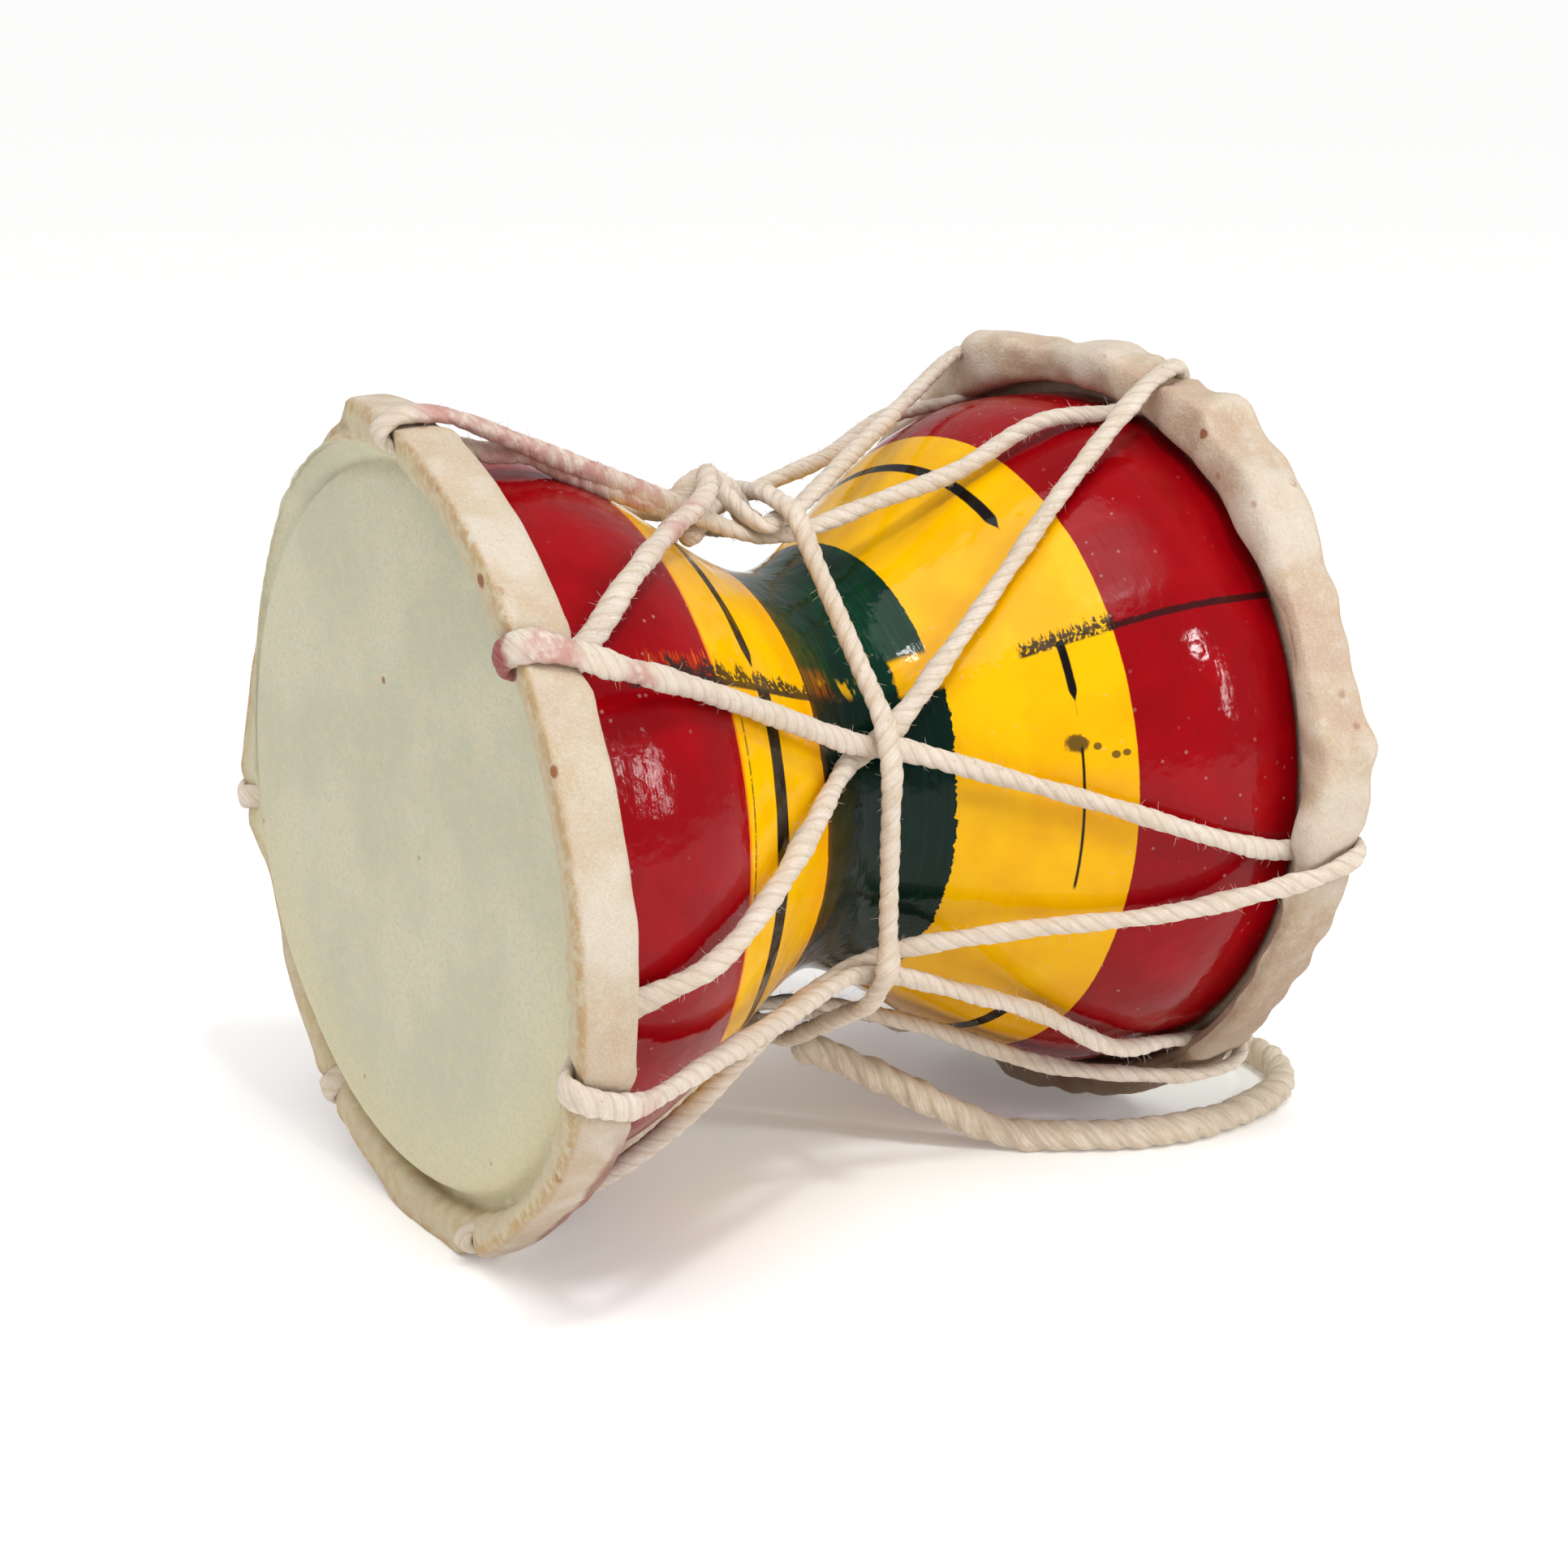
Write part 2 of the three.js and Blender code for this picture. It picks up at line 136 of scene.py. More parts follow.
@dataclass(frozen=True)
class Drum:
    """Sizes that the pieces share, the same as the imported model's.

    Attributes:
        waist_x: Place of the waist along the frame's X axis.
        axis_y: Place of the drum's axis along the frame's Y axis.
        axis_z: Height of the drum's axis above the floor.
        half: Distance from the waist to each mouth of the wood.
        waist_r: Outside radius of the waist.
        front_bell_r: Outside radius of the front bell.
        back_bell_r: Outside radius of the back bell.
        bell_run: Distance from the waist at which a bell reaches its full radius.
        bell_power: How slowly the bell leaves the waist.
        mouth_wall: Thickness of the wood at the mouths.
        waist_wall: Thickness of the wood at the waist.
        hoop_r: Outside radius of the skins' hoops.
        hoop_inner_r: Inside radius of the hoops.
        gap: Clearance between pieces.
    """

    waist_x: float = 1.46
    axis_y: float = -0.04
    axis_z: float = 59.6
    half: float = 58.0
    waist_r: float = 29.8
    front_bell_r: float = 50.4
    back_bell_r: float = 52.2
    bell_run: float = 48.0
    bell_power: float = 1.8
    mouth_wall: float = 4.5
    waist_wall: float = 11.8
    hoop_r: float = 60.0
    hoop_inner_r: float = 54.0
    gap: float = 0.3

    def polar(self, u: np.ndarray, r: np.ndarray, angle: np.ndarray) -> np.ndarray:
        """Points at a distance u from the waist, a radius r and an angle round the axis."""
        u, r, turn = np.broadcast_arrays(u, r, np.radians(angle))
        return np.stack(
            [self.waist_x + u, self.axis_y - r * np.sin(turn), self.axis_z + r * np.cos(turn)], axis=-1
        )

    def beside(self, angle: float) -> np.ndarray:
        """Direction round the drum at an angle."""
        turn = np.radians(angle)
        return np.array([0.0, -np.cos(turn), -np.sin(turn)])

    def rise(self, u: np.ndarray) -> np.ndarray:
        """Share of the way from waist to bell: sine of a quarter turn per bell run, raised to a power."""
        share = np.minimum(1, np.abs(u) / self.bell_run)
        return np.sin(0.5 * np.pi * share) ** self.bell_power

    def bell(self, u: np.ndarray) -> np.ndarray:
        """Radius of the bell on u's side of the waist."""
        return np.where(np.asarray(u) < 0, self.front_bell_r, self.back_bell_r)

    def outer(self, u: np.ndarray) -> np.ndarray:
        """Outside radius of the wood."""
        return self.waist_r + (self.bell(u) - self.waist_r) * self.rise(u)

    def inner(self, u: np.ndarray) -> np.ndarray:
        """Inside radius of the wood."""
        passage = self.waist_r - self.waist_wall
        return passage + (self.bell(u) - self.mouth_wall - passage) * self.rise(u)


DRUM = Drum()


class Term:
    """A number that changes over a surface: a shader socket that takes part in Python arithmetic."""

    def __init__(self, finish: "Finish", socket: bpy.types.NodeSocket) -> None:
        self.finish = finish
        self.socket = socket

    def __add__(self, other: "Term | float") -> "Term":
        """Sum."""
        return self.finish.maths("ADD", self, other)

    __radd__ = __add__

    def __sub__(self, other: "Term | float") -> "Term":
        """Difference."""
        return self.finish.maths("SUBTRACT", self, other)

    def __rsub__(self, other: float) -> "Term":
        """Difference from a number."""
        return self.finish.maths("SUBTRACT", other, self)

    def __mul__(self, other: "Term | float") -> "Term":
        """Product."""
        return self.finish.maths("MULTIPLY", self, other)

    __rmul__ = __mul__

    def __truediv__(self, other: "Term | float") -> "Term":
        """Quotient."""
        return self.finish.maths("DIVIDE", self, other)

    def __pow__(self, other: float) -> "Term":
        """Power."""
        return self.finish.maths("POWER", self, other)

    def __neg__(self) -> "Term":
        """Opposite."""
        return self.finish.maths("MULTIPLY", self, -1.0)

    def __abs__(self) -> "Term":
        """Size without sign."""
        return self.finish.maths("ABSOLUTE", self)

    def __mod__(self, other: float) -> "Term":
        """Remainder, never below zero."""
        return self.finish.maths("FLOORED_MODULO", self, other)

    def clipped(self) -> "Term":
        """Kept from 0 to 1."""
        return self.finish.maths("MINIMUM", self.finish.maths("MAXIMUM", self, 0.0), 1.0)

    def higher(self, other: "Term | float") -> "Term":
        """The higher of the two."""
        return self.finish.maths("MAXIMUM", self, other)

    def cosine(self) -> "Term":
        """Cosine of an angle in radians."""
        return self.finish.maths("COSINE", self)

    def past(self, start: "Term | float", soft: float) -> "Term":
        """Mask that turns from 0 to 1 over a soft edge centred on start."""
        share = ((self - start) / soft + 0.5).clipped()
        return share * share * (3 - 2 * share)

    def within(self, start: "Term | float", end: "Term | float", soft: float) -> "Term":
        """Mask that is 1 between start and end, with soft edges."""
        return self.past(start, soft) * (1 - self.past(end, soft))


Socketable = Term | bpy.types.NodeSocket | float | tuple


class Finish:
    """One node material, with the few ways that its nodes are made."""

    def __init__(self, name: str) -> None:
        self.material = bpy.data.materials.new(name)
        self.material.use_nodes = True
        self.tree = self.material.node_tree
        self.tree.nodes.clear()
        self.shader = self.node("ShaderNodeBsdfPrincipled")
        self.node("ShaderNodeOutputMaterial", inputs={"Surface": self.shader.outputs[0]})

    def feed(self, socket: bpy.types.NodeSocket, value: Socketable) -> None:
        """Links a socket to a term or another socket, or sets its number or colour."""
        if isinstance(value, Term):
            self.tree.links.new(value.socket, socket)
        elif isinstance(value, bpy.types.NodeSocket):
            self.tree.links.new(value, socket)
        else:
            socket.default_value = value

    def node(
        self, kind: str, settings: dict | None = None, inputs: dict | None = None
    ) -> bpy.types.Node:
        """Adds a node.

        Args:
            kind: Type name of the node.
            settings: Properties to set first; "stops" holds a ramp's places and colours.
            inputs: Values or links of its sockets, by name or number.

        Returns:
            The node.
        """
        made = self.tree.nodes.new(kind)
        for name, value in (settings or {}).items():
            if name == "stops":
                ramp = made.color_ramp
                while len(ramp.elements) < len(value):
                    ramp.elements.new(0.5)
                for element, (place, colour) in zip(ramp.elements, value):
                    element.position = place
                    element.color = colour
            else:
                setattr(made, name, value)
        for name, value in (inputs or {}).items():
            self.feed(made.inputs[name], value)
        return made

    def maths(self, operation: str, *values: Term | float) -> Term:
        """A Math node on terms and numbers."""
        made = self.node("ShaderNodeMath", {"operation": operation}, dict(enumerate(values)))
        return Term(self, made.outputs[0])

    def place(self) -> tuple[Term, Term, Term]:
        """Object coordinates in millimetres, from the waist and the drum's axis: along, aside and up."""
        source = self.node("ShaderNodeTexCoord").outputs["Object"]
        split = self.node("ShaderNodeSeparateXYZ", inputs={0: source})
        x, y, z = (Term(self, socket) for socket in split.outputs)
        return x / MM - DRUM.waist_x, y / MM - DRUM.axis_y, z / MM - DRUM.axis_z

    def field(self, name: str) -> Term:
        """Number stored at each point of the mesh."""
        return Term(self, self.node("ShaderNodeAttribute", {"attribute_name": name}).outputs["Fac"])

    def vector(self, x: Term | float, y: Term | float, z: Term | float) -> bpy.types.NodeSocket:
        """Vector of three terms or numbers."""
        return self.node("ShaderNodeCombineXYZ", inputs={0: x, 1: y, 2: z}).outputs[0]

    def noise(
        self, vector: bpy.types.NodeSocket, scale: float, detail: float = 3.0, rough: float = 0.55
    ) -> Term:
        """Cloudy noise, about 0.2 to 0.8, of the vector times scale."""
        made = self.node(
            "ShaderNodeTexNoise",
            inputs={"Vector": vector, "Scale": scale, "Detail": detail, "Roughness": rough},
        )
        return Term(self, made.outputs[0])

    def cells(self, vector: bpy.types.NodeSocket, scale: float) -> Term:
        """Distance to the nearest of scattered points, for specks."""
        made = self.node("ShaderNodeTexVoronoi", inputs={"Vector": vector, "Scale": scale})
        return Term(self, made.outputs[0])

    def blend(
        self, factor: Term | float, under: Socketable, over: Socketable, mode: str = "MIX"
    ) -> bpy.types.NodeSocket:
        """Colour that goes from under to over as factor goes from 0 to 1."""
        made = self.node(
            "ShaderNodeMix", {"data_type": "RGBA", "blend_type": mode}, {0: factor, 6: under, 7: over}
        )
        return made.outputs[2]

    def bump(
        self, height: Term, distance: float, strength: float = 1.0, below: Socketable | None = None
    ) -> bpy.types.NodeSocket:
        """Normal that a height gives; distance is the millimetres of one unit of height."""
        inputs = {"Height": height, "Distance": distance * MM, "Strength": strength}
        if below is not None:
            inputs["Normal"] = below
        return self.node("ShaderNodeBump", inputs=inputs).outputs[0]

    def finish(self, **sockets: Socketable) -> bpy.types.Material:
        """Feeds the shader's sockets, named with underscores for spaces, and returns the material."""
        for name, value in sockets.items():
            self.feed(self.shader.inputs[name.replace("_", " ")], value)
        return self.material


Spots = tuple[tuple[float, float, float, float], ...]


def marks(spots: Spots, uneven: Term, at: tuple[Term, Term, Term]) -> Term | None:
    """Mask of round marks with uneven edges.

    Args:
        spots: Place along, aside and up, and radius, of each mark.
        uneven: Noise that breaks the edges.
        at: The place on the surface.

    Returns:
        The mask, or None where there are no marks.
    """
    mask = None
    for along, aside, up, size in spots:
        away = ((at[0] - along) ** 2 + (at[1] - aside) ** 2 + (at[2] - up) ** 2) ** 0.5
        mark = 1 - (away / size + (uneven - 0.5) * 1.4).past(1.0, 0.5)
        mask = mark if mask is None else mask.higher(mark)
    return mask


@dataclass(frozen=True)
class Lacquer:
    """Painted bands of the turned wood, with the line where the brush started and stopped.

    Places along the axis are millimetres from the waist, and turns are degrees past the seam.

    Attributes:
        seam: Angle round the drum where the brush started and stopped.
        left_red: Edge between the left red and the yellow.
        left_drift: How far that edge moves in one turn.
        left_green: Left edge of the green.
        right_green: Right edge of the green.
        right_red: Edge between the yellow and the right red.
        left_ring: Middle of the left black ring.
        right_ring: Middle of the right black ring.
        right_ring_turns: Turns between which the broken right ring shows, after its start.
        right_ring_end: Turn where the right ring's start breaks off.
        hairline: Place at the seam, and move per degree, of the thin line beside the left red.
        smear_reach: From where to where the left bell's dark smear runs along the seam.
        flame_reach: The same for the orange licks above it.
        right_smear_reach: The same for the smear on the right bell's yellow.
        brushed_reach: The same for the darker brushed yellow.
        brushed_turns: Turns that the brushed yellow covers.
        scraped_reach: From where to where the green is scraped at the seam.
        dull_reach: From where to where the right red is dull.
        dull_turns: Turns that the dull red covers.
        blot: Place, turn, half length and half width of the large blot.
        dots: The same of the small dots past it.
    """

    red: tuple = tone(150, 2, 12)
    deep_red: tuple = tone(126, 2, 10)
    yellow: tuple = tone(240, 183, 0)
    deep_yellow: tuple = tone(232, 170, 0)
    orange: tuple = tone(222, 104, 4)
    green: tuple = tone(3, 46, 31)
    light_green: tuple = tone(16, 80, 38)
    dark_green: tuple = tone(3, 28, 21)
    black: tuple = tone(20, 14, 14)
    smear: tuple = tone(38, 33, 28)
    scorch: tuple = tone(52, 16, 18)
    shade: tuple = tone(176, 150, 140)
    dust: tuple = tone(205, 180, 174)
    seam: float = 57.5
    left_red: float = -32.5
    left_drift: float = -1.2
    left_green: float = -11.7
    right_green: float = 10.5
    right_red: float = 32.1
    left_ring: float = -24.1
    right_ring: float = 25.6
    right_ring_turns: tuple = ((20.5, 49.0), (83.0, 333.5))
    right_ring_end: float = 14.5
    hairline: tuple[float, float] = (-30.2, 0.036)
    smear_reach: tuple[float, float] = (-48.5, -4.0)
    flame_reach: tuple[float, float] = (-45.0, -31.0)
    right_smear_reach: tuple[float, float] = (20.8, 32.6)
    brushed_reach: tuple[float, float] = (19.5, 32.6)
    brushed_turns: tuple[float, float] = (11.0, 40.0)
    scraped_reach: tuple[float, float] = (-8.0, -1.5)
    dull_reach: tuple[float, float] = (25.0, 43.0)
    dull_turns: tuple[float, float] = (340.0, 355.5)
    blot: tuple[float, float, float, float] = (25.0, 20.0, 1.5, 2.0)
    dots: Spots = ((27.4, 20.8, 0.5, 0.7), (29.5, 22.6, 0.55, 0.7), (30.8, 22.4, 0.5, 0.6))

    def oval(self, spot: tuple[float, float, float, float], u: Term, after: Term) -> Term:
        """Square of the distance from an oval spot's middle, 1 at its edge."""
        place, turn, long, wide = spot
        return ((u - place) / long) ** 2 + ((after - turn) / wide) ** 2

    def material(self) -> bpy.types.Material:
        """Builds the lacquer.

        Returns:
            The material of the wood's outside.
        """
        f = Finish("lacquered_wood")

        # Place on the wood, and unevenness of the brush work
        u, aside, up = f.place()
        angle = f.maths("ARCTAN2", -aside, up) * (180 / np.pi)
        after = (angle - self.seam) % 360.0
        before = 360.0 - after
        above = (before + 180.0) % 360.0 - 180.0
        where = f.vector(u, aside, up)
        round_way = f.vector(u * 2.2, aside * 0.12, up * 0.12)
        streak = f.noise(round_way, 1.0, 4.0)
        cloud = f.noise(where, 0.09, 3.0)
        fine = f.noise(where, 1.7, 3.0)
        teeth = f.noise(f.vector(u * 1.9, 0.0, 0.0), 1.0, 3.0, 0.7)
        jag = (f.noise(where, 0.62, 3.0, 0.65) - 0.5) * 2
        wave = (f.noise(where, 0.055, 2.0) - 0.5) * 2

        # Edges of the bands
        red_edge = self.left_red + self.left_drift * after / 360 + wave * 0.35 + jag * 0.12
        left_green = self.left_green + wave * 0.9 + jag * 0.18
        ragged = 0.22 + 0.85 * (1 - after.past(150.0, 120.0))
        right_green = self.right_green + 0.7 * (1 - after.past(14.0, 30.0)) + jag * ragged
        yellow_edge = self.right_red + wave * 0.25 + jag * 0.08

        # Colours of the bands
        yellow = f.blend(cloud.past(0.5, 0.3), self.yellow, self.deep_yellow)
        brushed = u.within(*self.brushed_reach, 1.5) * after.within(*self.brushed_turns, 3.0)
        yellow = f.blend(brushed * 0.1, yellow, self.orange)
        near_red = u.within(red_edge - 0.3, red_edge + 0.45, 0.5)
        yellow = f.blend(near_red * 0.8, yellow, self.orange)
        red = f.blend(cloud.past(0.48, 0.3) * 0.6, self.red, self.deep_red)
        red = f.blend(streak.past(0.62, 0.2) * 0.25, red, self.deep_red)
        green_low = f.blend(streak.past(0.6, 0.3) * 0.5, self.dark_green, self.green)
        green_high = f.blend(streak.past(0.6, 0.3) * 0.5, self.green, self.light_green)
        green_high = f.blend(cloud.past(0.5, 0.1) * 0.35, green_high, self.dark_green)
        green = f.blend(before.past(75.0, 60.0), green_high, green_low)

        # Bands laid over each other, with bare places of the green at the seam
        is_green = u.within(left_green, right_green, 0.16)
        bare = above.within(-2.0, 7.5 + wave * 3, 2.0) * u.past(5.2 + jag * 0.9, 0.6)
        flake = f.noise(f.vector(u, aside * 0.5, up * 0.5), 0.85, 2.0)
        scraped = above.within(0.2, 5.0, 3.0) * u.within(*self.scraped_reach, 3.0)
        bare = bare.higher(scraped * flake.past(0.53, 0.08) * 0.9)
        is_green = is_green * (1 - bare)
        is_red = (1 - u.past(red_edge, 0.14)).higher(u.past(yellow_edge, 0.14))
        colour = f.blend(is_green, yellow, green)
        colour = f.blend(is_red, colour, red)
        # Orange strip of painted shade on the yellow just left of the green's edge
        shade_beside_green = u.within(left_green - 3.0, left_green + 0.4, 3.0) * (1 - after.past(300.0, 60.0) * 0.4)
        colour = f.blend(shade_beside_green * 0.22, colour, self.orange)

        # Black rings, thinner where the brush ran dry
        left_half = 1.5 - 0.5 * after.past(95.0, 60.0) - 0.85 * after.past(354.0, 4.5)
        left_half = left_half + (streak - 0.5) * 0.3
        left_ring = abs(u - (self.left_ring + wave * 0.7 + 0.9 * (1 - after.past(16.0, 36.0))))
        ring = 1 - left_ring.past(left_half, 0.25)
        ring = ring * (1 - after.past(355.6, 1.0))
        right_half = 0.5 * (1 - after.past(11.0, 3.0)) + 0.17 * after.within(20.5, 52.0, 1.5)
        right_half = right_half + 0.72 * after.within(84.5, 331.5, 4.0) + (jag * 0.05)
        right_shown = 1 - after.past(self.right_ring_end, 0.8)
        for turns in self.right_ring_turns:
            right_shown = right_shown.higher(after.within(*turns, 1.5))
        ring = ring.higher((1 - abs(u - self.right_ring).past(right_half, 0.2)) * right_shown)
        thin = abs(u - (self.hairline[0] - self.hairline[1] * after)).past(0.17, 0.18)
        ring = ring.higher((1 - thin) * after.within(5.0, 38.0, 2.0) * fine.past(0.42, 0.2) * 0.85)
        colour = f.blend(ring, colour, self.black)

        # Smears along the seam
        tall = teeth.past(0.52, 0.35)
        dabs = f.noise(f.vector(u, 0.0, 0.0), 0.42, 2.0).past(0.5, 0.3)
        gaps = f.noise(f.vector(u, aside * 1.6, up * 1.6), 0.9, 3.0, 0.6).past(0.4, 0.08)
        smear_top = 0.7 + 2.4 * dabs + 2.0 * tall + jag * 0.7
        left_seam = u.within(*self.smear_reach, 3.0) * above.within(-0.8, smear_top, 0.5)
        left_seam = left_seam * gaps.higher(above.within(-0.8, 0.5, 0.4))
        flames = u.within(*self.flame_reach, 4.0) * above.within(1.0, 2.6 + 3.0 * tall + jag, 0.9)
        colour = f.blend(flames * teeth.past(0.54, 0.12) * 0.8, colour, self.orange)
        broken = fine.past(0.42, 0.14)
        right_seam = u.within(*self.right_smear_reach, 0.8) * above.within(-1.1, 0.5 + 2.6 * tall, 0.5)
        right_seam = right_seam * broken
        colour = f.blend((left_seam * 0.94).higher(right_seam * 0.95), colour, self.smear)
        scorch = u.past(31.6, 1.2) * above.within(-0.75 - 0.35 * fine, 0.5 * fine, 0.3)
        colour = f.blend(scorch * 0.95, colour, self.scorch)
        patch = abs(u + 8.6).past(2.4, 2.0)
        patch = (1 - patch) * above.within(1.0, 8.0, 3.0) * teeth.past(0.5, 0.2)
        colour = f.blend(patch * 0.4, colour, self.orange)

        # Blot and dots of black beside the right ring
        blot = self.oval(self.blot, u, after)
        colour = f.blend((1 - (blot + jag * 0.9).past(0.9, 0.6)) * 0.85, colour, self.smear)
        undotted = 1.0
        for dot in self.dots:
            undotted = self.oval(dot, u, after).past(1.0, 0.6) * undotted
        colour = f.blend((1 - undotted) * 0.8, colour, self.smear)

        # Dust, the shaded underside and the gloss
        specks = 1 - f.cells(where, 0.42).past(0.11, 0.06)
        specks = specks * f.noise(where, 0.05, 2.0).past(0.54, 0.16)
        colour = f.blend(specks * 0.28, colour, self.dust)
        underside = 1 - up.past(-32.0, 30.0)
        colour = f.blend(underside * 0.6, colour, self.shade, "MULTIPLY")
        dull = u.within(*self.dull_reach, 7.0) * after.within(*self.dull_turns, 7.0)
        rough = 0.07 + 0.04 * cloud.past(0.55, 0.3) + 0.3 * specks + 0.08 * streak.past(0.62, 0.2)
        rough = rough + 0.34 * dull
        paint_step = is_green * 0.5 + is_red * 0.6 + ring * 0.4 + (left_seam + right_seam) * 0.6
        normal = f.bump(paint_step + streak * 0.5, 0.05, 0.6)
        normal = f.bump(f.noise(where, 0.16, 2.0), 0.5, 0.5, normal)
        normal = f.bump(f.noise(where, 0.55, 2.0), 0.12, 0.5, normal)
        normal = f.bump(specks, 0.08, 0.6, normal)
        return f.finish(Base_Color=colour, Roughness=rough, Normal=normal, Specular_IOR_Level=0.16)


@dataclass(frozen=True)
class BareWood:
    """Unpainted inside of the turned wood."""

    pale: tuple = tone(196, 156, 108)
    dark: tuple = tone(142, 100, 62)

    def material(self) -> bpy.types.Material:
        """Long grain along the axis with fine pores."""
        f = Finish("bare_wood")
        u, aside, up = f.place()
        grain = f.noise(f.vector(u * 0.03, aside * 0.5, up * 0.5), 1.0, 5.0)
        pores = f.noise(f.vector(u * 0.2, aside * 3.0, up * 3.0), 1.0, 3.0)
        colour = f.blend(grain.past(0.5, 0.3), self.pale, self.dark)
        normal = f.bump(grain + pores * 0.5, 0.3, 0.5)
        return f.finish(Base_Color=colour, Roughness=0.6 + pores * 0.3, Normal=normal)


@dataclass(frozen=True)
class RawSkin:
    """Stretched raw skin: a tight olive-cream membrane and a thick cream lap over the hoop."""

    name: str
    membrane: tuple = tone(209, 203, 176)
    membrane_warm: tuple = tone(213, 201, 160)
    membrane_cool: tuple = tone(188, 187, 162)
    ring: tuple = tone(206, 192, 156)
    lap: tuple = tone(201, 187, 164)
    lap_warm: tuple = tone(196, 168, 130)
    lap_pink: tuple = tone(190, 160, 138)
    lap_pale: tuple = tone(216, 206, 192)
    rust: tuple = tone(140, 72, 32)
    crease: tuple = tone(148, 116, 80)
    worn_edge: tuple = tone(188, 152, 106)
    stain: tuple = tone(128, 68, 58)
    pinkness: float = 0.15
    # Strength of the painted shade in the lap's hollows
    hollow_shade_share: float = 0.4
    wear: float = 0.75
    blotches: float = 0.5
    mottles: float = 0.35
    # Strength and colour of the painted shade on the lower band
    lower_band_shade: float = 0.3
    lower_band_shade_tone: tuple = tone(168, 148, 132)
    fold_way: float = -9.0
    rear_stain: tuple[float, float] | None = None
    level_side: tuple[float, float] | None = None
    rust_spots: Spots = ()

    def material(self) -> bpy.types.Material:
        """Builds the skin.

        Returns:
            The material, coloured by the radius from the drum's axis.
        """
        f = Finish(self.name)

        # Place on the skin, and its unevenness
        u, aside, up = f.place()
        where = f.vector(u, aside, up)
        radius = (aside * aside + up * up) ** 0.5
        relief = f.field("relief")
        way = f.field("past_corner")
        cloud = f.noise(where, 0.035, 3.0)
        blotch = f.noise(where, 0.14, 4.0, 0.6)
        mottle = f.noise(where, 0.5, 4.0, 0.65)
        drawn = f.noise(where, 1.3, 4.0, 0.7)
        grain = f.noise(where, 2.6, 4.0, 0.7)
        fibre = f.noise(where, 7.0, 3.0, 0.7)
        angle = f.maths("ARCTAN2", -aside, up) * (180 / np.pi) % 360.0
        start = self.fold_way + (blotch - 0.5) * 1.6
        if self.level_side is not None:
            start = start + 5.2 * angle.within(*self.level_side, 26.0)
        on_hoop = way.past(start, 2.2)
        on_band = way.past((mottle - 0.5) * 1.6, 0.7)

        # Membrane
        flat = f.blend(cloud.past(0.5, 0.2) * 0.7, self.membrane, self.membrane_cool)
        # Warmer colour toward the membrane's lower edge is painted shading of its rounded shoulder
        warm_edge_shade = radius.past(43.0, 16.0) * (1 - up.past(-6.0, 44.0))
        flat = f.blend((warm_edge_shade * 0.8).clipped(), flat, self.membrane_warm)
        flat = f.blend(drawn.past(0.55, 0.18) * 0.5, flat, self.membrane_cool)
        flat = f.blend(mottle.past(0.56, 0.2) * 0.4, flat, self.membrane_warm)
        flat = f.blend(grain.past(0.58, 0.14) * 0.5, flat, self.membrane_cool)

        # Edge ring inside the hoop, and the lap over it
        edge_ring = f.blend(mottle.past(0.5, 0.2) * 0.7, self.ring, self.lap_warm)
        edge_ring = f.blend(grain.past(0.56, 0.2) * 0.4, edge_ring, self.membrane_cool)
        edge_ring = f.blend(blotch.past(0.5, 0.2) * 0.4, edge_ring, self.lap)
        hoop = f.blend(blotch.past(0.5, 0.28) * self.blotches, self.lap, self.lap_warm)
        hoop = f.blend(cloud.past(0.48, 0.2) * self.pinkness, hoop, self.lap_pink)
        hoop = f.blend(mottle.past(0.54, 0.26) * self.mottles, hoop, self.lap_pale)
        hoop = f.blend(drawn.past(0.6, 0.16) * 0.3, hoop, self.lap_warm)
        # Pale on the raised lumps is a painted highlight, and pink in the hollows between them is painted
        # shade
        hoop = f.blend(relief.past(0.45, 0.9) * 0.6, hoop, self.lap_pale)
        hollow_shade = (1 - relief.past(-0.55, 1.1)) * self.hollow_shade_share
        hoop = f.blend(hollow_shade, hoop, self.lap_pink)
        hoop = f.blend(grain.past(0.56, 0.16) * 0.4, hoop, self.lap_pale)
        hoop = f.blend((1 - grain.past(0.43, 0.14)) * 0.35, hoop, self.lap_warm)
        hoop = f.blend(on_band, edge_ring, hoop)
        colour = f.blend(on_hoop, flat, hoop)

        # Painted shade in the fold, worn corner, painted shade on the lower band, flecks and single marks
        # The fold between membrane and hoop is darkened as painted shade
        fold = way.within(self.fold_way - 0.5, self.fold_way + 1.3, 1.3) * on_hoop.higher(0.2)
        colour = f.blend(fold * (0.1 + 0.5 * blotch.past(0.5, 0.2)), colour, self.crease)
        worn = way.within(-1.5, 0.3, 1.2) * mottle.past(0.47, 0.24) * self.wear
        colour = f.blend(worn, colour, self.worn_edge)
        # Painted shade that darkens the lower part of the outer band
        low = 1 - up.past(-26.0, 70.0)
        colour = f.blend(low * on_band * self.lower_band_shade, colour, self.lower_band_shade_tone, "MULTIPLY")
        flecks = (1 - f.cells(where, 0.13).past(0.1, 0.06)) * mottle.past(0.5, 0.2)
        colour = f.blend(flecks * on_hoop * 0.5, colour, self.rust)
        pin = 1 - f.cells(where, 0.085).past(0.03, 0.02)
        colour = f.blend(pin * 0.7, colour, self.crease)
        if self.rear_stain is not None:
            stained = angle.within(*self.rear_stain, 12.0) * way.past(5.9 + (blotch - 0.5) * 5.0, 1.6)
            colour = f.blend(stained * (0.45 + 0.6 * mottle), colour, self.stain)
        rusty = marks(self.rust_spots, mottle, (u, aside, up))
        if rusty is not None:
            colour = f.blend(rusty * 0.85, colour, self.rust)

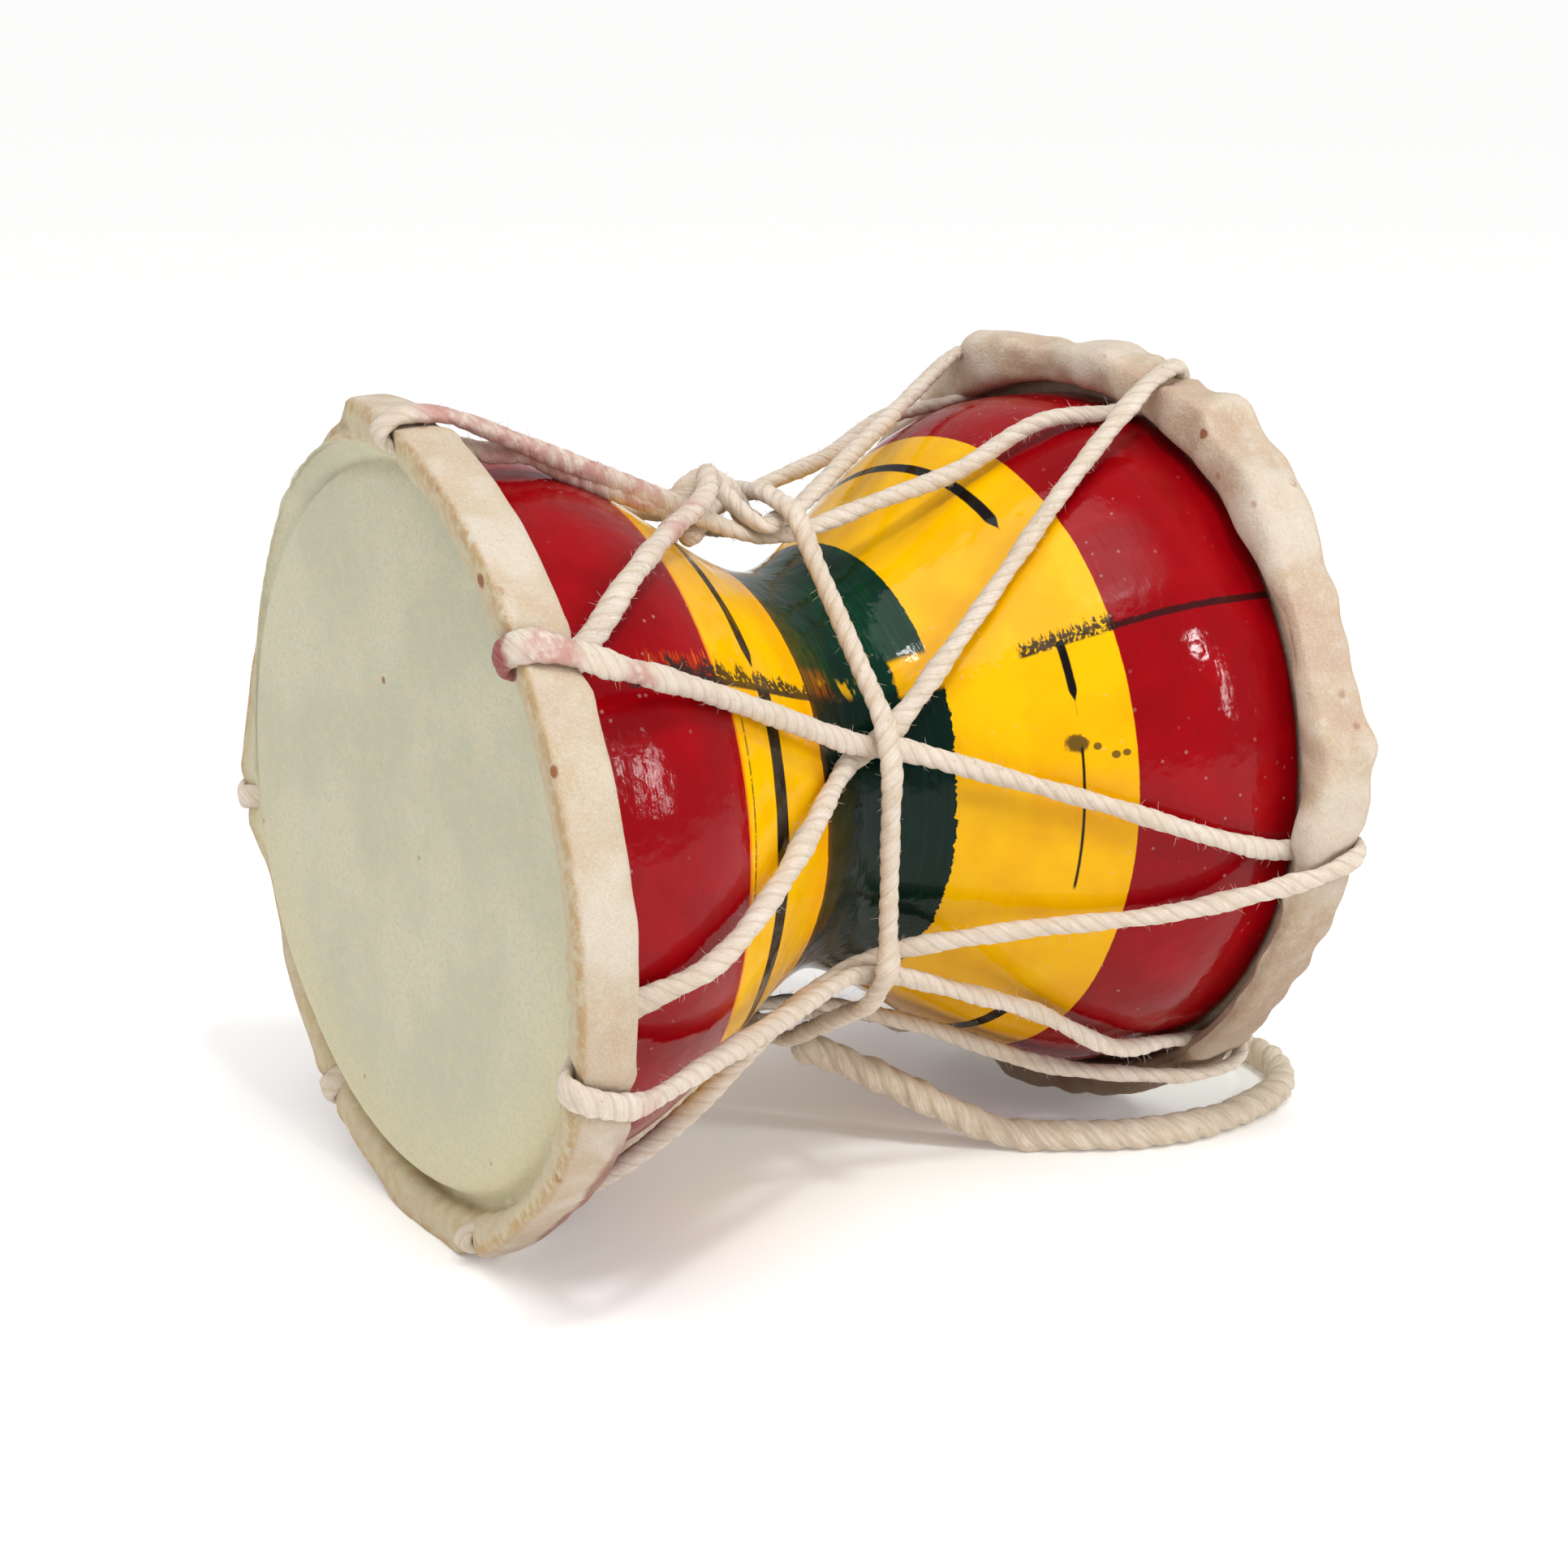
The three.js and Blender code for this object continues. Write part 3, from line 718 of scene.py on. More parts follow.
        # Gloss and fine relief
        rough = 0.5 + 0.28 * on_hoop + (grain - 0.5) * 0.2
        height = grain * (0.3 + 0.7 * on_hoop) + fibre * 0.5
        normal = f.bump(drawn, 0.3, 0.5)
        normal = f.bump(mottle * (0.3 + 0.7 * on_hoop), 0.4, 0.6, normal)
        normal = f.bump(height, 0.12, 0.8, normal)
        return f.finish(
            Base_Color=colour,
            Roughness=rough,
            Normal=normal,
            Specular_IOR_Level=0.25,
            Sheen_Weight=0.05,
            Subsurface_Weight=0.08,
            Subsurface_Scale=0.0015,
        )


@dataclass(frozen=True)
class Cotton:
    """Soft twisted cotton: fibres that follow the plies, with faint dirt and a few stains."""

    name: str
    pale: tuple = tone(241, 228, 215)
    shade: tuple = tone(230, 214, 196)
    # Colour of the painted shade in the grooves between the plies
    groove: tuple = tone(208, 188, 162)
    dirt: tuple = tone(212, 192, 162)
    stain: tuple = tone(190, 104, 104)
    deep_stain: tuple = tone(150, 20, 30)
    dirtiness: float = 0.35
    plies: int = 3
    pitch: float = 8.0
    spots: Spots = ()
    deep_spots: Spots = ()

    def material(self) -> bpy.types.Material:
        """Builds the cotton.

        Returns:
            The material; its UV map holds the length in metres and the turn round the cord.
        """
        f = Finish(self.name)
        u, aside, up = f.place()
        where = f.vector(u, aside, up)
        course = f.node("ShaderNodeUVMap", {"uv_map": "Course"}).outputs[0]
        split = f.node("ShaderNodeSeparateXYZ", inputs={0: course})
        length = Term(f, split.outputs[0]) / MM
        turn = Term(f, split.outputs[1])
        lay = turn * (2 * np.pi) - length * (2 * np.pi / self.pitch)
        across = (lay * (self.plies / 2)).cosine()
        ply = abs(across)
        strand_place = f.vector(length * 0.32, lay.cosine() * 2.4, (lay + np.pi / 2).cosine() * 2.4)
        strands = f.noise(strand_place, 1.6, 4.0)
        hairs = f.noise(where, 5.0, 4.0, 0.75)
        cloud = f.noise(where, 0.06, 3.0)
        patch = f.noise(where, 0.32, 4.0, 0.6)
        colour = f.blend(strands.past(0.5, 0.3), self.pale, self.shade)
        # Darker colour in the grooves between the plies is painted shade
        colour = f.blend((1 - ply.past(0.3, 0.5)) * 0.55, colour, self.groove)
        colour = f.blend(patch.past(0.55, 0.25) * self.dirtiness, colour, self.dirt)
        colour = f.blend(cloud.past(0.52, 0.2) * self.dirtiness * 0.6, colour, self.dirt)
        stained = marks(self.spots, patch, (u, aside, up))
        if stained is not None:
            colour = f.blend(stained * patch.past(0.46, 0.25) * 0.6, colour, self.stain)
        soaked = marks(self.deep_spots, patch, (u, aside, up))
        if soaked is not None:
            colour = f.blend(soaked * (0.7 + 0.3 * strands), colour, self.deep_stain)
        normal = f.bump(strands, 0.4, 0.8)
        normal = f.bump(hairs, 0.22, 0.8, normal)
        return f.finish(
            Base_Color=colour,
            Roughness=0.85 + (hairs - 0.5) * 0.2,
            Normal=normal,
            Specular_IOR_Level=0.15,
            Sheen_Weight=0.15,
        )


@dataclass(frozen=True)
class PaleFloor:
    """Plain pale studio floor."""

    colour: tuple = tone(252, 252, 251)
    glow: float = 0.15

    def material(self) -> bpy.types.Material:
        """Even matt paper with a barely seen grain."""
        f = Finish("pale_floor")
        source = f.node("ShaderNodeTexCoord").outputs["Object"]
        grain = f.noise(source, 900.0, 2.0)
        return f.finish(
            Base_Color=self.colour,
            Roughness=0.9 + grain * 0.05,
            Emission_Color=(1.0, 1.0, 1.0, 1.0),
            Emission_Strength=self.glow,
        )


def placed(name: str, data: bpy.types.ID) -> bpy.types.Object:
    """New object of a mesh, lamp or camera, linked to the scene."""
    made = bpy.data.objects.new(name, data)
    bpy.context.scene.collection.objects.link(made)
    return made


def mesh_of(
    name: str,
    points: np.ndarray,
    material: bpy.types.Material,
    closed: bool,
    lengths: np.ndarray | None = None,
    fields: dict[str, np.ndarray] | None = None,
) -> bpy.types.Object:
    """Makes an object from a grid of points whose rows are rings.

    Neighbouring rings are joined by quads. A closed grid joins its last ring to its first, and an
    open one closes each end with a fan to the mean of its end ring.

    Args:
        name: The piece's name.
        points: Rings by places round the ring by three, in millimetres.
        material: Its finish.
        closed: Whether the last ring meets the first.
        lengths: Distance of each ring along the piece, for the UV map "Course".
        fields: Numbers at each point of the grid, for attributes of these names.

    Returns:
        The object, with faces outward and smooth shading.
    """
    rings, around = points.shape[:2]
    flat = points.reshape(-1, 3)
    rows = np.arange(rings if closed else rings - 1)[:, None]
    cols = np.arange(around)[None, :]
    nxt_row, nxt_col = (rows + 1) % rings, (cols + 1) % around
    quads = np.stack(
        [
            rows * around + cols,
            rows * around + nxt_col,
            nxt_row * around + nxt_col,
            nxt_row * around + cols,
        ],
        axis=-1,
    ).reshape(-1, 4)
    row_uv = np.zeros(rings + 1) if lengths is None else np.append(lengths, 2 * lengths[-1] - lengths[-2])
    u_low = np.broadcast_to(row_uv[rows], (len(rows), around))
    u_high = np.broadcast_to(row_uv[rows + 1], (len(rows), around))
    v_low = np.broadcast_to(cols / around, u_low.shape)
    v_high = v_low + 1 / around
    uv = np.stack([u_low, v_low, u_low, v_high, u_high, v_high, u_high, v_low], axis=-1).reshape(-1, 4, 2)
    tris = np.zeros((0, 3), int)
    if not closed:
        ends = np.stack([points[0].mean(0), points[-1].mean(0)])
        flat = np.concatenate([flat, ends])
        ring = np.arange(around)
        start = np.stack([np.full(around, len(flat) - 2), (ring + 1) % around, ring], axis=1)
        last = (rings - 1) * around
        stop = np.stack([np.full(around, len(flat) - 1), last + ring, last + (ring + 1) % around], axis=1)
        tris = np.concatenate([start, stop])
    a, b, c, d = (flat[quads[:, k]] for k in range(4))
    volume = np.sum(a * np.cross(b, c)) + np.sum(a * np.cross(c, d))
    if volume < 0:
        quads, uv, tris = quads[:, ::-1], uv[:, ::-1], tris[:, ::-1]
    mesh = bpy.data.meshes.new(name)
    mesh.from_pydata((flat * MM).tolist(), [], quads.tolist() + tris.tolist())
    layer = mesh.uv_layers.new(name="Course")
    spare = np.zeros((len(tris) * 3, 2))
    spare[:, 0] = row_uv[0]
    spread = np.concatenate([(uv * [MM, 1]).reshape(-1, 2), spare])
    layer.data.foreach_set("uv", spread.astype(np.float32).ravel())
    mesh.polygons.foreach_set("use_smooth", np.ones(len(mesh.polygons), bool))
    mesh.materials.append(material)
    for title, numbers in (fields or {}).items():
        made = mesh.attributes.new(title, "FLOAT", "POINT")
        whole = np.concatenate([numbers.ravel(), numbers[[0, -1], 0]])[: len(flat)]
        made.data.foreach_set("value", whole.astype(np.float32))
    mesh.update()
    return placed(name, mesh)


def settle(piece: bpy.types.Object, slot: Slot, *nodes: str) -> bpy.types.Object:
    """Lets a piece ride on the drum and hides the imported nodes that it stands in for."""
    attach(piece, "root")
    if nodes:
        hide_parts(*nodes)
    log.info("%s: %d faces", piece.name, len(piece.data.polygons))
    return piece


def smooth_course(stations: np.ndarray, closed: bool, samples: int) -> np.ndarray:
    """Centripetal Catmull-Rom spline through stations.

    Each span blends its four neighbouring stations, with knots spaced by the square root of the
    distance between their places, which are the first three numbers of each.

    Args:
        stations: Rows of a place and whatever else changes along the way.
        closed: Whether the last station leads to the first.
        samples: Points in each span.

    Returns:
        The rows along the curve.
    """
    if closed:
        around = np.concatenate([stations[-1:], stations, stations[:2]])
    else:
        first = 2 * stations[:1] - stations[1:2]
        last = 2 * stations[-1:] - stations[-2:-1]
        around = np.concatenate([first, stations, last])
    gaps = np.sqrt(np.linalg.norm(np.diff(around[:, :3], axis=0), axis=1)) + 1e-6
    knots = np.concatenate([[0.0], np.cumsum(gaps)])
    spans = len(around) - 3
    p = [around[k : k + spans, None, :] for k in range(4)]
    t = [knots[k : k + spans, None, None] for k in range(4)]
    at = t[1] + (t[2] - t[1]) * np.linspace(0, 1, samples, endpoint=False)[None, :, None]

    def between(a: np.ndarray, b: np.ndarray, start: np.ndarray, end: np.ndarray) -> np.ndarray:
        """Straight blend of a and b by where the knot value lies between start and end."""
        return (a * (end - at) + b * (at - start)) / (end - start)

    low = between(between(p[0], p[1], t[0], t[1]), between(p[1], p[2], t[1], t[2]), t[0], t[2])
    high = between(between(p[1], p[2], t[1], t[2]), between(p[2], p[3], t[2], t[3]), t[1], t[3])
    course = between(low, high, t[1], t[2]).reshape(-1, stations.shape[1])
    return course if closed else np.concatenate([course, stations[-1:]])


def even_course(course: np.ndarray, closed: bool, step: float) -> tuple[np.ndarray, np.ndarray, float]:
    """Rows moved to even distances along a course.

    Args:
        course: Rows that start with a place.
        closed: Whether the last row leads to the first.
        step: Distance wanted between rows.

    Returns:
        The rows, their distances from the start, and the whole length.
    """
    loop = np.concatenate([course, course[:1]]) if closed else course
    reach = np.concatenate([[0.0], np.cumsum(np.linalg.norm(np.diff(loop[:, :3], axis=0), axis=1))])
    count = max(4, round(reach[-1] / step))
    at = np.linspace(0, reach[-1], count + (0 if closed else 1), endpoint=not closed)
    rows = np.stack([np.interp(at, reach, column) for column in loop.T], axis=1)
    return rows, at, float(reach[-1])


@dataclass(frozen=True)
class CordMake:
    """How a cord is laid up.

    Attributes:
        plies: Number of strands twisted together.
        pitch: Length of one full turn of a strand.
        groove: Depth of the grooves between strands, as a share of the radius.
        sides: Points round the cord.
        step: Distance between rings.
        swell: Unevenness of the thickness, as a share of it.
        seed: Start of the unevenness.
    """

    plies: int = 3
    pitch: float = 10.0
    groove: float = 0.2
    sides: int = 18
    step: float = 0.5
    swell: float = 0.05
    seed: int = 5

    def surface(self, stations: np.ndarray, closed: bool) -> tuple[np.ndarray, np.ndarray, np.ndarray]:
        """Twisted cord along stations of a place, a sideways direction, a half width and a half thickness.

        The section is an ellipse of those half sizes. Its radius is cut by groove times (1 - the
        size of the cosine of half the plies times the turn from the twisting strand) to the power
        1.4, and swells by a slow ripple. Open ends close as a round cap.

        Args:
            stations: Rows of eight numbers: place, sideways direction, half width, half thickness.
            closed: Whether the cord is a loop.

        Returns:
            Rings of points, the distance of each ring, and the centreline.
        """
        course = smooth_course(stations, closed, 12)
        rows, at, total = even_course(course, closed, self.step)
        middle, side = rows[:, :3], rows[:, 3:6]
        if closed:
            ahead = np.roll(middle, -1, axis=0) - np.roll(middle, 1, axis=0)
        else:
            ahead = np.gradient(middle, axis=0)
        ahead = unit(ahead)
        side = unit(side - np.sum(side * ahead, axis=1, keepdims=True) * ahead)
        normal = np.cross(ahead, side)
        turn = (2 * np.pi * np.arange(self.sides) / self.sides)[None, :]
        twist = 2 * np.pi * max(1, round(total / self.pitch)) / total * at[:, None]
        lobe = np.abs(np.cos(self.plies * (turn - twist) / 2))
        size = 1 - self.groove * (1 - lobe) ** 1.4
        slow = Ripple(self.seed, 9, (6, int(total / 9) + 8), 0.0)
        size = size + self.swell * slow.over(2 * np.pi * at[:, None] / total, np.zeros(1))
        uneven = Ripple(self.seed + 1, 12, (2, 5), 1.2)
        size = size + 0.3 * self.swell * uneven.over(turn - twist, at[:, None])
        if not closed:
            cap = 1.1 * rows[:, 7]
            reach = np.minimum(at, total - at)
            share = np.clip(reach / cap, 0, 1)
            size = size * np.sqrt(np.maximum(1e-4, 1 - (1 - share) ** 2))[:, None]
        across = rows[:, 6:7] * size * np.cos(turn)
        upward = rows[:, 7:8] * size * np.sin(turn)
        points = middle[:, None] + side[:, None] * across[..., None] + normal[:, None] * upward[..., None]
        return points, at, middle


def station(place: np.ndarray, side: np.ndarray, wide: float, thick: float) -> np.ndarray:
    """One row of a cord's course: place, sideways direction, half width and half thickness."""
    return np.concatenate([place, side, [wide, thick]])


@dataclass
class PaintedBody:
    """Turned wooden hourglass, hollow from mouth to mouth."""

    rows: int = 232
    inner_rows: int = 64
    around: int = 192
    edge: float = 0.5
    out_of_round: float = 0.1

    def build(self) -> bpy.types.Object:
        """Turns the closed section round the axis.

        The outside radius is the bell curve plus a small out-of-round ripple, and each mouth's
        corners are eased by a quarter circle.

        Returns:
            The body.
        """
        outer_u = np.linspace(-DRUM.half, DRUM.half, self.rows)
        inner_u = np.linspace(DRUM.half, -DRUM.half, self.inner_rows)
        end_gap = DRUM.half - np.abs(outer_u)
        eased = self.edge * (1 - np.sqrt(1 - np.clip(1 - end_gap / self.edge, 0, 1) ** 2))
        outer_r = DRUM.outer(outer_u) - eased
        u = np.concatenate([outer_u, inner_u])
        r = np.concatenate([outer_r, DRUM.inner(inner_u)])
        turn = 2 * np.pi * np.arange(self.around) / self.around
        uneven = Ripple(11, 8, (2, 5), 0.12).over(turn[None, :], u[:, None])
        points = DRUM.polar(u[:, None], r[:, None] + self.out_of_round * uneven, np.degrees(turn)[None, :])
        piece = mesh_of("painted_body", points, Lacquer().material(), closed=True)
        piece.data.materials.append(BareWood().material())
        inside = np.zeros((len(u), self.around), np.int32)
        inside[self.rows :] = 1
        piece.data.polygons.foreach_set("material_index", inside.ravel())
        return settle(piece, Slot.BODY, "body")


@dataclass(frozen=True)
class Crossing:
    """Where two lines of the lacing cross at the waist."""

    u: float
    angle: float
    lift: float


@dataclass
class SkinHead:
    """Raw skin stretched over a mouth and lapped round its hoop.

    Attributes:
        name: The piece's name.
        node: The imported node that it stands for.
        slot: The record's slot.
        direction: -1 at the front and 1 at the back.
        bell_r: Radius of the wood's mouth.
        rear: Distance of the hoop's inner side from the waist.
        rim: Distance of the hoop's outer side from the waist.
        lean_near: How far the hoop leans outward on the viewer's side.
        lean_top: How far it leans outward at the top.
        holes: Angles of the holes.
        pulls: Slant of each outer cord on the hoop, in degrees per millimetre.
        lumps: Height of the stuffed lap's lumps.
        seed: Start of the random numbers.
        fold_depth: Depth of the fold between the membrane and the hoop.
        corner: Size of the rim's outer corner.
        swells: Outward swelling of the hoop, by angle.
        tips: Radius of the outer end of each cord's lap on the face.
        dips: How much lower the rim stands, by angle.
        sinks: How far the hoop has slipped toward the waist, by angle.
        slews: Degrees that each outer cord is turned from its hole.
        insides: Turn and radius of each inner cord below its hole.
        levels: Share of the fold that is filled, by angle.
        finish: The skin's colours.
        tucks: Angle, half width, place and height of single lumps.
        around: Points round the head.
        face: Distance of the membrane from the waist.
        under: Distance of the membrane's inside from the waist.
        small_share: Height of the small lumps, as a share of the large ones.
        pucker: Height of the puckers at the fold.
        sag: Height of the membrane's unevenness.
        dent: Depth of the dent under each cord.
        dent_width: Half width of that dent.
        ridge_share: Height of the ridges beside a dent, as a share of its depth.
        ridge_away: Distance of the ridges, as a share of the dent's half width.
        ridge_width: Half width of a ridge.
        dimple: Depth of the dimple at each hole.
        dimple_width: Its half width round the hoop.
        dimple_reach: Its half width across the hoop.
        tip_lead: How far inside its lap's end each hole lies.
    """

    name: str
    node: str
    slot: Slot
    direction: int
    bell_r: float
    rear: float
    rim: float
    lean_near: float
    lean_top: float
    holes: tuple[float, ...]
    pulls: tuple[float, ...]
    lumps: float
    seed: int
    fold_depth: float
    corner: float
    swells: tuple[tuple[float, float], ...]
    tips: tuple[float, ...]
    dips: tuple[tuple[float, float], ...]
    sinks: tuple[tuple[float, float], ...]
    slews: tuple[float, ...]
    insides: tuple[tuple[float, float], ...]
    levels: tuple[tuple[float, float], ...]
    finish: RawSkin
    tucks: Spots = ()
    around: int = 320
    face: float = 59.4
    under: float = 58.3
    small_share: float = 0.45
    pucker: float = 0.16
    sag: float = 0.05
    dent: float = 0.8
    dent_width: float = 2.6
    ridge_share: float = 0.35
    ridge_away: float = 1.7
    ridge_width: float = 1.4
    dimple: float = 0.7
    dimple_width: float = 2.4
    dimple_reach: float = 1.5
    tip_lead: float = 0.9

    def lean(self, y: np.ndarray, z: np.ndarray) -> np.ndarray:
        """How far a slightly askew hoop stands outward at a place beside the axis."""
        return (-self.lean_near * y + self.lean_top * z) / DRUM.hoop_r

    def lean_at(self, angle: float) -> float:
        """Lean at an angle on the hoop's outside."""
        turn = np.radians(angle)
        return float(self.lean(-DRUM.hoop_r * np.sin(turn), DRUM.hoop_r * np.cos(turn)))

    def swell(self, angle: np.ndarray) -> np.ndarray:
        """Outward swelling of the stuffed hoop at an angle, in millimetres."""
        return eased_round(self.swells, angle)

    def dip(self, angle: np.ndarray) -> np.ndarray:
        """How much lower the hoop's rim stands at an angle, in millimetres."""
        return eased_round(self.dips, angle)

    def sink(self, angle: np.ndarray) -> np.ndarray:
        """How far the whole hoop has slipped toward the waist at an angle, in millimetres."""
        return eased_round(self.sinks, angle)

    def section(self) -> np.ndarray:
        """Radius and distance from the waist along the skin, from the face's middle to its underside."""
        seat = self.bell_r + DRUM.gap
        hoop = DRUM.hoop_r
        inner = DRUM.hoop_inner_r
        fold = 0.5 * (seat + inner)
        deep = self.face - self.fold_depth
        bend = np.array(
            [
                [seat - 4.0, self.face],
                [seat - 1.6, self.face - 0.06],
                [seat - 0.2, self.face - 0.45 * self.fold_depth],
                [fold, deep],
                [inner - 0.1, deep + 0.9],
                [inner + 0.5, self.rim - 1.5],
                [inner + 1.6, self.rim - 0.4],
                [inner + 3.4, self.rim],
                [hoop - 1.6 * self.corner, self.rim - 0.05],
                [hoop - 0.35 * self.corner, self.rim - 0.45 * self.corner],
                [hoop, self.rim - 1.6 * self.corner],
                [hoop + 0.15, 0.5 * (self.rear + self.rim)],
                [hoop, self.rear + 1.9],
                [hoop - 0.5, self.rear + 0.6],
                [hoop - 1.9, self.rear],
                [hoop - 4.0, self.rear + 0.1],
                [inner + 0.7, self.rear + 0.8],
                [inner + 0.05, self.rear + 2.2],
                [inner - 0.05, self.under - 1.0],
                [inner - 0.5, self.under - 0.3],
                [seat + 0.3, self.under - 0.1],
                [seat - 0.6, self.under],
            ]
        )
        curve, _, _ = even_course(smooth_course(np.pad(bend, ((0, 0), (0, 1))), False, 10), False, 0.42)
        disc = np.linspace(0.6, seat - 4.5, 34)
        back = np.linspace(seat - 2.0, 0.6, 10)
        return np.concatenate(
            [
                np.stack([disc, np.full_like(disc, self.face)], axis=1),
                curve[:, :2],
                np.stack([back, np.full_like(back, self.under)], axis=1),
            ]
        )

    def drift(self, hole: int, u: np.ndarray) -> np.ndarray:
        """Degrees that an outer cord has moved toward its crossing, at a distance from the waist."""
        return self.pulls[hole] * np.maximum(0, self.rim - u)

    def surface(self) -> tuple[np.ndarray, np.ndarray, np.ndarray, float]:
        """Carries the section round the axis.

        The section moves along its normal by lumps of the stuffed lap, fine puckers near the fold,
        dents under each cord lap and a dimple at each hole. The hoop swells outward by the measured
        swellings, its rim drops by the measured dips, it slips toward the waist by the measured sinks,
        it leans outward by a plane's height, and it is pressed flat where it meets the floor.

        Returns:
            The grid of points, the relief at each, the way along the section past the rim's corner,
            and where on that way the fold lies.
        """
        section = self.section()
        r, u = section[:, 0:1], section[:, 1:2]
        slope = unit(np.gradient(section, axis=0))
        out_r, out_u = -slope[:, 1:2], slope[:, 0:1]
        if np.sum(out_u[:20]) < 0:
            out_r, out_u = -out_r, -out_u
        turn = (2 * np.pi * np.arange(self.around) / self.around)[None, :]
        way = np.concatenate([[0.0], np.cumsum(np.linalg.norm(np.diff(section, axis=0), axis=1))])[:, None]
        facing_out = section[:, 1] > self.under + 0.5
        fold_way = float(way[np.argmax(facing_out & (section[:, 0] > self.bell_r + 1.6)), 0])
        corner_way = float(way[np.argmax(section[:, 0] > DRUM.hoop_r - 0.5 * self.corner), 0])
        hooped = ease(DRUM.hoop_inner_r - 0.6, DRUM.hoop_inner_r + 2.0, r)
        lumps = Ripple(self.seed, 14, (3, 16), 0.22).over(turn, way)
        small = Ripple(self.seed + 1, 18, (18, 56), 0.8).over(turn, way)
        pucker = Ripple(self.seed + 2, 14, (50, 118), 0.25).over(turn, way)
        sag = Ripple(self.seed + 3, 8, (1, 6), 0.09).over(turn, way)
        relief = hooped * (lumps + self.small_share * small)
        move = self.lumps * relief
        near_fold = np.exp(-(((r - DRUM.hoop_inner_r - 0.4) / 2.4) ** 2)) * (u > self.under)
        move = move + near_fold * self.pucker * pucker
        on_face = (r < DRUM.hoop_inner_r) * (u > self.under + 0.5)
        move = move + on_face * self.sag * sag * ease(0, 12, r)
        for k, hole in enumerate(self.holes):
            line = np.radians(hole + self.slews[k] + self.drift(k, u))
            off = np.abs((turn - line + np.pi) % (2 * np.pi) - np.pi) * r
            groove = np.exp(-((off / self.dent_width) ** 2))
            ridge = np.exp(-(((off - self.ridge_away * self.dent_width) / self.ridge_width) ** 2))
            move = move - hooped * (self.dent * groove - self.ridge_share * self.dent * ridge)
            relief = relief - hooped * groove
            inward = (r - self.tips[k] + self.tip_lead) / self.dimple_reach
            dimple = np.exp(-((off / self.dimple_width) ** 2) - inward**2) * (u > self.under)
            move = move - self.dimple * dimple
        for angle, width, place, height in self.tucks:
            off = ((turn - np.radians(angle) + np.pi) % (2 * np.pi) - np.pi) * DRUM.hoop_r
            tuck = np.exp(-((off / width) ** 2) - ((u - place) / width) ** 2) * hooped
            move = move + height * tuck
            relief = relief + height * tuck
        rr = r + out_r * move + hooped * ease(55.0, 59.0, r) * self.swell(np.degrees(turn))
        high = np.clip((u - self.rear) / (self.rim - self.rear), 0, 1)
        lowered = high * self.dip(np.degrees(turn)) + self.sink(np.degrees(turn))
        uu = u + out_u * move - hooped * lowered
        fold_r = 0.5 * (self.bell_r + DRUM.hoop_inner_r)
        seam = np.exp(-(((r - fold_r) / 1.9) ** 2)) * (u > self.under + 0.5)
        uu = uu + seam * self.fold_depth * eased_round(self.levels, np.degrees(turn))
        y = -rr * np.sin(turn)
        z = rr * np.cos(turn)
        uu = uu + ease(self.bell_r + DRUM.gap, DRUM.hoop_inner_r, rr) * self.lean(y, z)
        x = DRUM.waist_x + self.direction * uu
        points = np.stack([x, DRUM.axis_y + y, np.maximum(DRUM.axis_z + z, 0.0)], axis=-1)
        shape = points.shape[:2]
        past_corner = np.broadcast_to(way - corner_way, shape)
        return points, np.broadcast_to(relief, shape), past_corner, fold_way - corner_way

    def build(self) -> bpy.types.Object:
        """Makes the head, with its relief and its way past the corner stored for the finish."""
        points, relief, past_corner, fold_way = self.surface()
        finish = replace(self.finish, fold_way=fold_way).material()
        fields = {"relief": relief, "past_corner": past_corner}
        piece = mesh_of(self.name, points, finish, closed=False, fields=fields)
        return settle(piece, self.slot, self.node)


def knot_detours() -> dict[int, tuple[tuple[float, float, float], ...]]:
    """Waypoints, as u, radius and angle, of the two inner lines that the waist knot takes up."""
    return {
        1: ((-12.0, 44.5, 6.0), (-15.2, 47.4, 9.5), (-19.4, 46.9, 17.4)),
        0: ((-10.0, 41.4, -13.0), (-20.8, 42.9, 11.5), (-39.5, 50.4, 12.3)),
    }


